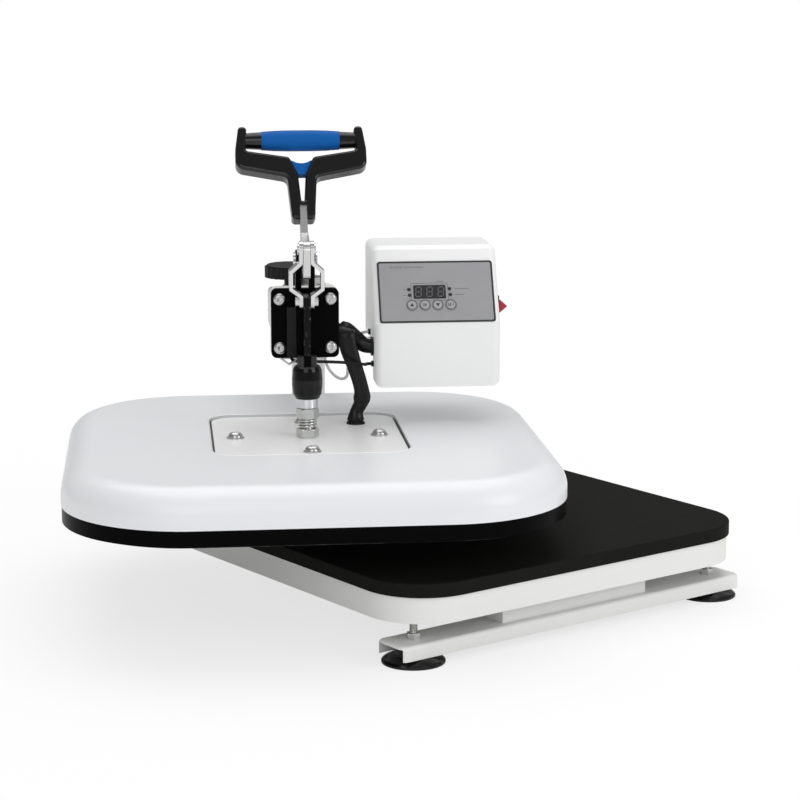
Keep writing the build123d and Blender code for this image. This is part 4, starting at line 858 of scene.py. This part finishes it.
class HEATPRESS_OT_panel(bpy.types.Operator):
    """Border, window frame, digits, key rings, key signs, short rules and lamps of the panel"""

    bl_idname = "heatpress.panel"
    bl_label = "Panel print"

    def execute(self, context):
        ink = moulded("print_dark", (0.035, 0.036, 0.038), 0.4, grain=1500.0, wear=0.1, bump=0.02)
        soft = moulded("print_mid", (0.11, 0.11, 0.115), 0.42, grain=1500.0, wear=0.1, bump=0.02)
        lit = moulded("segment_grey", (0.10, 0.10, 0.105), 0.3, grain=900.0, wear=0.1, bump=0.02)
        face = PANEL_FACE
        border = [ring_shape(rounded(103.4, 59.1, 2.5, centre=PANEL_CENTRE),
                             rounded(100.0, 55.7, 1.6, centre=PANEL_CENTRE),
                             face - 0.4, face + 0.06, on_panel)]
        joined("panel_border", border, ink, "swing_arm")
        rim = [ring_shape(rounded(33.4, 17.2, 2.2, centre=WINDOW_CENTRE),
                          rounded(32.6, 16.4, 1.8, centre=WINDOW_CENTRE),
                          face - 0.2, face + 0.04, on_panel)]
        joined("window_rule", rim, soft, "swing_arm")
        digits = []
        for x in DIGIT_XS:
            for a, b in SEGMENTS.values():
                outline = bar(a, b, 1.15)
                lean = np.column_stack([outline[:, 0] * 0.95 + outline[:, 1] * 0.09, outline[:, 1] * 0.98])
                digits.append(flat_shape(lean + [x, WINDOW_CENTRE[1]], face + 0.3, face + 0.46, on_panel))
        joined("display_digits", digits, lit, "swing_arm")
        rings = [ring_shape(circle(5.25, (x, KEY_LEVEL)), circle(4.85, (x, KEY_LEVEL)),
                            face - 0.2, face + 0.05, on_panel)
                 for _, x in KEYS]
        joined("key_rings", rings, soft, "swing_arm")
        signs = {
            "button_up": [np.array([(-1.9, -1.3), (1.9, -1.3), (0.0, 1.9)])],
            "button_down": [np.array([(-1.9, 1.3), (0.0, -1.9), (1.9, 1.3)])],
            "button_ok": word("OK"),
            "button_set": word("SET"),
        }
        top = face + KEY_PROUD
        for name, x in KEYS:
            spot = (x, KEY_LEVEL)
            shapes = [flat_shape(o + spot, top - 0.2, top + 0.05, on_panel) for o in signs[name]]
            shapes.append(ring_shape(circle(4.3, spot), circle(3.9, spot), top - 0.2, top + 0.04, on_panel))
            joined(name + "_sign", shapes, ink, name)
        rules = [flat_shape(bar((x, y), (x + w, y), 0.5), face - 0.2, face + 0.04, on_panel)
                 for x, y, w in CAPTIONS]
        for low, high, first, end, step in TICK_ROWS:
            rules += [flat_shape(bar((x, low), (x + 0.2, high), 0.45), face - 0.2, face + 0.04, on_panel)
                      for x in np.arange(first, end, step)]
        joined("panel_rules", rules, soft, "swing_arm")
        lens = moulded("led_lens", (0.008, 0.007, 0.007), 0.3, bump=0.0, coat=0.15)
        domes = [skin(on_panel(lathe_grid(LAMP_PROFILE, 24) + [x, y, face + 0.3])) for x, y in LAMP_SPOTS]
        joined("led_domes", domes, lens, "swing_arm")
        return {"FINISHED"}


def socket_head(radius, height, socket, depth):
    """A button head: rim, quarter-round shoulder, flat top and a hexagon socket, all turned."""
    a = np.linspace(0.0, 0.5 * np.pi * 0.92, 8)
    inner = radius - (radius - socket - 0.5) * (1 - np.cos(a))
    shoulder = np.column_stack([inner, 0.7 + (height - 0.7) * np.sin(a)])
    profile = np.concatenate([[(radius - 0.15, 0.0), (radius, 0.15), (radius, 0.6)], shoulder,
                              [(socket + 0.25, height), (socket, height - 0.2), (socket, height - depth),
                               (0.0, height - depth - 0.5)]])
    hexed = np.zeros(len(profile))
    hexed[-4:] = (0.6, 1.0, 1.0, 1.0)
    return lathe_grid(profile, 48, hexed)


class HEATPRESS_OT_screws(bpy.types.Operator):
    """Clamp screws with hexagon sockets, and flanged dome bolts with crossed slots"""

    bl_idname = "heatpress.screws"
    bl_label = "Screw heads"

    def execute(self, context):
        bright = machined("bright_heads", (0.60, 0.60, 0.60), 0.3, stain=0.2, lines=0.5, bump=0.05)
        heads = []
        for x in SCREW_XS:
            for z in SCREW_LEVELS:
                grid = socket_head(radius=5.6, height=3.4, socket=2.0, depth=1.5)
                spun = np.stack([x + grid[..., 0], SCREW_FACE - grid[..., 2], z + grid[..., 1]], axis=-1)
                heads.append(skin(on_arm(spun)))
        screws = joined("clamp_screw_heads", heads, bright, "swing_arm")
        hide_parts("clamp_screws")
        domes = []
        a = np.linspace(0.0, np.pi / 2, 9)
        dome = np.column_stack([6.4 * np.cos(a) ** 0.85, 1.1 + 4.6 * np.sin(a)])
        profile = np.concatenate([[(7.6, 0.0), (7.6, 0.7), (7.3, 1.0), (6.5, 1.05)], refined(dome, 5)])
        for x, y in ((BOLT_CIRCLE, 0.0), (0.0, BOLT_CIRCLE), (-BOLT_CIRCLE, 0.0), (0.0, -BOLT_CIRCLE)):
            grid = lathe_grid(profile, 64)
            r = np.hypot(grid[..., 0], grid[..., 1])
            arm = np.minimum(np.abs(grid[..., 0]), np.abs(grid[..., 1]))
            cut = ramp(arm, 0.75, -0.35) * ramp(r, 2.9, -0.5)
            grid[..., 2] -= 1.6 * cut * (grid[..., 2] > 3.0)
            domes.append(skin(on_arm(grid + [x, y, BOLT_SEAT])))
        bolts = joined("dome_bolt_heads", domes, bright, "press_head")
        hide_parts("dome_bolts")
        return {"FINISHED"}


def refined(line, times):
    """A polyline with each of its runs cut into equal steps."""
    line = np.asarray(line, float)
    t = np.linspace(0.0, len(line) - 1.0, (len(line) - 1) * times + 1)
    k = np.arange(len(line))
    return np.column_stack([np.interp(t, k, line[:, 0]), np.interp(t, k, line[:, 1])])


def thread_grid(radius, height, pitch, low, high, turns=40, per_pitch=8):
    """A screw thread: r = radius + height |2 frac(z / pitch - a / 2 pi) - 1|."""
    a = np.linspace(0.0, 2 * np.pi, turns, endpoint=False)
    z = np.arange(low, high, pitch / per_pitch)
    phase = np.mod(z[:, None] / pitch - a[None, :] / (2 * np.pi), 1.0)
    r = radius + height * np.abs(2 * phase - 1.0)
    return np.stack([r * np.cos(a), r * np.sin(a), np.broadcast_to(z[:, None], r.shape)], axis=-1)


class HEATPRESS_OT_threads(bpy.types.Operator):
    """Plunger spring, and the threads of the plunger stud and the two front foot studs"""

    bl_idname = "heatpress.threads"
    bl_label = "Spring and threads"

    def execute(self, context):
        wire = machined("spring_wire", (0.70, 0.70, 0.69), 0.2, stain=0.2)
        turn = np.linspace(0.0, SPRING_TURNS * 2 * np.pi, 200)
        z = SPRING_LOW + (SPRING_HIGH - SPRING_LOW) * turn / turn[-1]
        helix = np.column_stack([SPRING_RADIUS * np.cos(turn), SPRING_RADIUS * np.sin(turn), z])
        spring = closed_tube("plunger_spring_coil", on_arm(helix), SPRING_WIRE / 1000.0, wire, 12)
        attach(spring, "press_head")
        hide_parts("plunger_spring")
        zinc = machined("zinc_thread", (0.66, 0.66, 0.65), 0.28, stain=0.3)
        grid = thread_grid(radius=4.95, height=0.35, pitch=1.5, low=152.4, high=161.2)
        joined("plunger_thread", [skin(on_arm(grid))], zinc, "press_head", 70.0)
        grid = thread_grid(radius=2.97, height=0.3, pitch=1.0, low=24.0, high=53.5)
        studs = [skin(on_base(grid + [x, FOOT_Y, 0.0])) for x in FOOT_XS]
        joined("foot_threads", studs, zinc, "base", 70.0)
        return {"FINISHED"}


class HEATPRESS_OT_marks(bpy.types.Operator):
    """Weld bead about the post's foot, a dark ring of painted shade in the gap round the cover's opening, and
    the opening's rim
    """

    bl_idname = "heatpress.marks"
    bl_label = "Weld and gap_shade"

    def execute(self, context):
        powder = tuple(context.scene.heatpress_paint.powder)
        weld = sprayed("painted_weld", powder, 0.5, dust=0.1, peel=300.0, bump=0.5)
        a = np.linspace(0.0, 2 * np.pi, 121)
        wobble = 1.9 + 0.25 * np.sin(a * 34)
        ring = np.column_stack([POST_X + POST_WELD_RADIUS * np.cos(a), POST_Y + POST_WELD_RADIUS * np.sin(a),
                                np.full(len(a), POST_WELD_LEVEL)])
        joined("post_weld", [skin(tube_grid(on_base(ring), wobble / 1000.0, 10))], weld, "base", 60.0)
        # A dark ring in the gap between the cover's opening and the access plate: painted shade where the gap
        # falls into shadow.
        gap = moulded("gap_shade_grey", (0.045, 0.046, 0.048), 0.6, grain=600.0, wear=0.3)
        rim = moulded("plate_edge", (0.80, 0.80, 0.79), 0.25, grain=1500.0, wear=0.1, bump=0.05, coat=0.3)
        centre = (0.0, OPENING_SHIFT)
        wide = OPENING_WIDTH
        deep = OPENING_DEPTH
        gap_shade_ring = ring_shape(rounded(wide - 0.3, deep - 0.3, OPENING_CORNER - 0.1, 12, centre),
                          rounded(wide - 4.7, deep - 4.7, OPENING_CORNER - 2.3, 12, centre),
                          *GAP_SHADE_LEVELS, on_arm)
        joined("access_gap_shade", [gap_shade_ring], gap, "press_head")
        edge = rounded(wide + 0.2, deep + 0.2, OPENING_CORNER + 0.1, 12, centre)
        loop = np.column_stack([edge, np.full(len(edge), OPENING_LIP)])
        grid = tube_grid(on_arm(np.concatenate([loop, loop[:1]])), 0.0006, 10)
        joined("opening_lip", [skin(grid)], rim, "press_head", 60.0)
        return {"FINISHED"}


LAMPS = (
    ("lamp_left", (-1.9, -1.7, 1.25), (-0.1, 0.0, 0.1), 1.5, 13.0),
    ("lamp_right", (0.8, -2.3, 1.0), (0.0, 0.0, 0.1), 1.2, 16.0),
    ("lamp_top", (0.3, 0.6, 2.2), (0.0, 0.0, 0.0), 2.4, 32.0),
)
CAMERA_SPOT = (-1.23104, -1.56702, 0.5559 - PAD_TOP / 1000.0)
CAMERA_TURN = (90.0 - 10.95, -0.07, -37.19)
CAMERA_SHIFT = (-0.0171, -0.0015)


class HEATPRESS_OT_stage(bpy.types.Operator):
    """Pale floor, soft lamps and the photograph's camera"""

    bl_idname = "heatpress.stage"
    bl_label = "Stage"

    def execute(self, context):
        settings = context.scene.heatpress_stage
        low = float(CAD_BOUNDS[0][2])
        side = settings.floor
        mesh = bpy.data.meshes.new("floor")
        corners = [(-side, -side, low), (side, -side, low), (side, side, low), (-side, side, low)]
        mesh.from_pydata(corners, [], [(0, 1, 2, 3)])
        floor = bpy.data.objects.new("floor", mesh)
        context.scene.collection.objects.link(floor)
        material, w, shader = new_material("floor_paper")
        out = material.node_tree.nodes["Material Output"]
        shader.inputs["Base Color"].default_value = (0.9, 0.9, 0.9, 1.0)
        shader.inputs["Roughness"].default_value = 0.9
        shader.inputs["Specular IOR Level"].default_value = 0.1
        glow = w.add("ShaderNodeEmission")
        glow.inputs["Color"].default_value = (1.0, 1.0, 1.0, 1.0)
        at = w.add("ShaderNodeTexCoord").outputs["Object"]
        away = w.add("ShaderNodeVectorMath", operation="LENGTH")
        w.link(at, away.inputs[0])
        far = w.ranged(away.outputs["Value"], 0.3, 1.1, 0.72, 1.0)
        rays = w.add("ShaderNodeLightPath")
        mixer = w.add("ShaderNodeMixShader")
        w.link(w.math("MULTIPLY", far, rays.outputs["Is Camera Ray"]), mixer.inputs[0])
        w.link(shader.outputs[0], mixer.inputs[1])
        w.link(glow.outputs[0], mixer.inputs[2])
        w.link(mixer.outputs[0], out.inputs["Surface"])
        mesh.materials.append(material)
        world = bpy.data.worlds.new("studio")
        context.scene.world = world
        world.use_nodes = True
        w = Wiring(world.node_tree)
        sky = world.node_tree.nodes["Background"]
        sky.inputs["Color"].default_value = (1.0, 1.0, 1.0, 1.0)
        rays = w.add("ShaderNodeLightPath")
        seen = w.math("ADD", rays.outputs["Is Camera Ray"], rays.outputs["Is Transmission Ray"], True)
        glossy = w.math("MULTIPLY", rays.outputs["Is Glossy Ray"], 0.3)
        bright = w.math("SUBTRACT", w.ranged(seen, 0.0, 1.0, 0.56, 1.0), glossy)
        w.link(bright, sky.inputs["Strength"])
        for name, spot, aim, size, power in LAMPS:
            lamp = bpy.data.lights.new(name, "AREA")
            lamp.size = size
            lamp.energy = power
            holder = bpy.data.objects.new(name, lamp)
            context.scene.collection.objects.link(holder)
            holder.location = spot
            aim = np.asarray(aim) - np.asarray(spot)
            flat = math.hypot(aim[0], aim[1])
            holder.rotation_euler = (math.atan2(flat, -aim[2]), 0.0, math.atan2(-aim[0], aim[1]))
        camera = bpy.data.cameras.new("photo_camera")
        camera.lens = settings.lens
        camera.sensor_width = 36.0
        camera.shift_x, camera.shift_y = CAMERA_SHIFT
        camera.clip_end = 100.0
        holder = bpy.data.objects.new("photo_camera", camera)
        holder.location = CAMERA_SPOT
        holder.rotation_euler = [math.radians(angle) for angle in CAMERA_TURN]
        context.scene.collection.objects.link(holder)
        context.scene.camera = holder
        context.scene.view_settings.view_transform = "Standard"
        return {"FINISHED"}


class HEATPRESS_PT_panel(bpy.types.Panel):
    """Settings and steps of the heat press"""

    bl_label = "Heat press"
    bl_idname = "HEATPRESS_PT_panel"
    bl_space_type = "VIEW_3D"
    bl_region_type = "UI"
    bl_category = "Heat press"

    def draw(self, context):
        for name, kind in SETTINGS:
            for key in kind.__annotations__:
                self.layout.prop(getattr(context.scene, name), key)
        for step in STEPS:
            self.layout.operator(step.bl_idname)


STEPS = (
    HEATPRESS_OT_stage,
    HEATPRESS_OT_leads,
    HEATPRESS_OT_paint,
    HEATPRESS_OT_panel,
    HEATPRESS_OT_screws,
    HEATPRESS_OT_threads,
    HEATPRESS_OT_marks,
)
SETTINGS = (
    ("heatpress_paint", PaintSettings),
    ("heatpress_leads", LeadSettings),
    ("heatpress_stage", StageSettings),
)


def register():
    for name, kind in SETTINGS:
        bpy.utils.register_class(kind)
        setattr(bpy.types.Scene, name, bpy.props.PointerProperty(type=kind))
    for kind in STEPS + (HEATPRESS_PT_panel,):
        bpy.utils.register_class(kind)


def unregister():
    for kind in (HEATPRESS_PT_panel,) + STEPS[::-1]:
        bpy.utils.unregister_class(kind)
    for name, kind in SETTINGS[::-1]:
        delattr(bpy.types.Scene, name)
        bpy.utils.unregister_class(kind)


def main():
    register()
    bpy.ops.heatpress.stage()
    bpy.ops.heatpress.leads()
    bpy.ops.heatpress.paint()
    bpy.ops.heatpress.panel()
    bpy.ops.heatpress.screws()
    bpy.ops.heatpress.threads()
    bpy.ops.heatpress.marks()


if __name__ == "__main__":
    main()
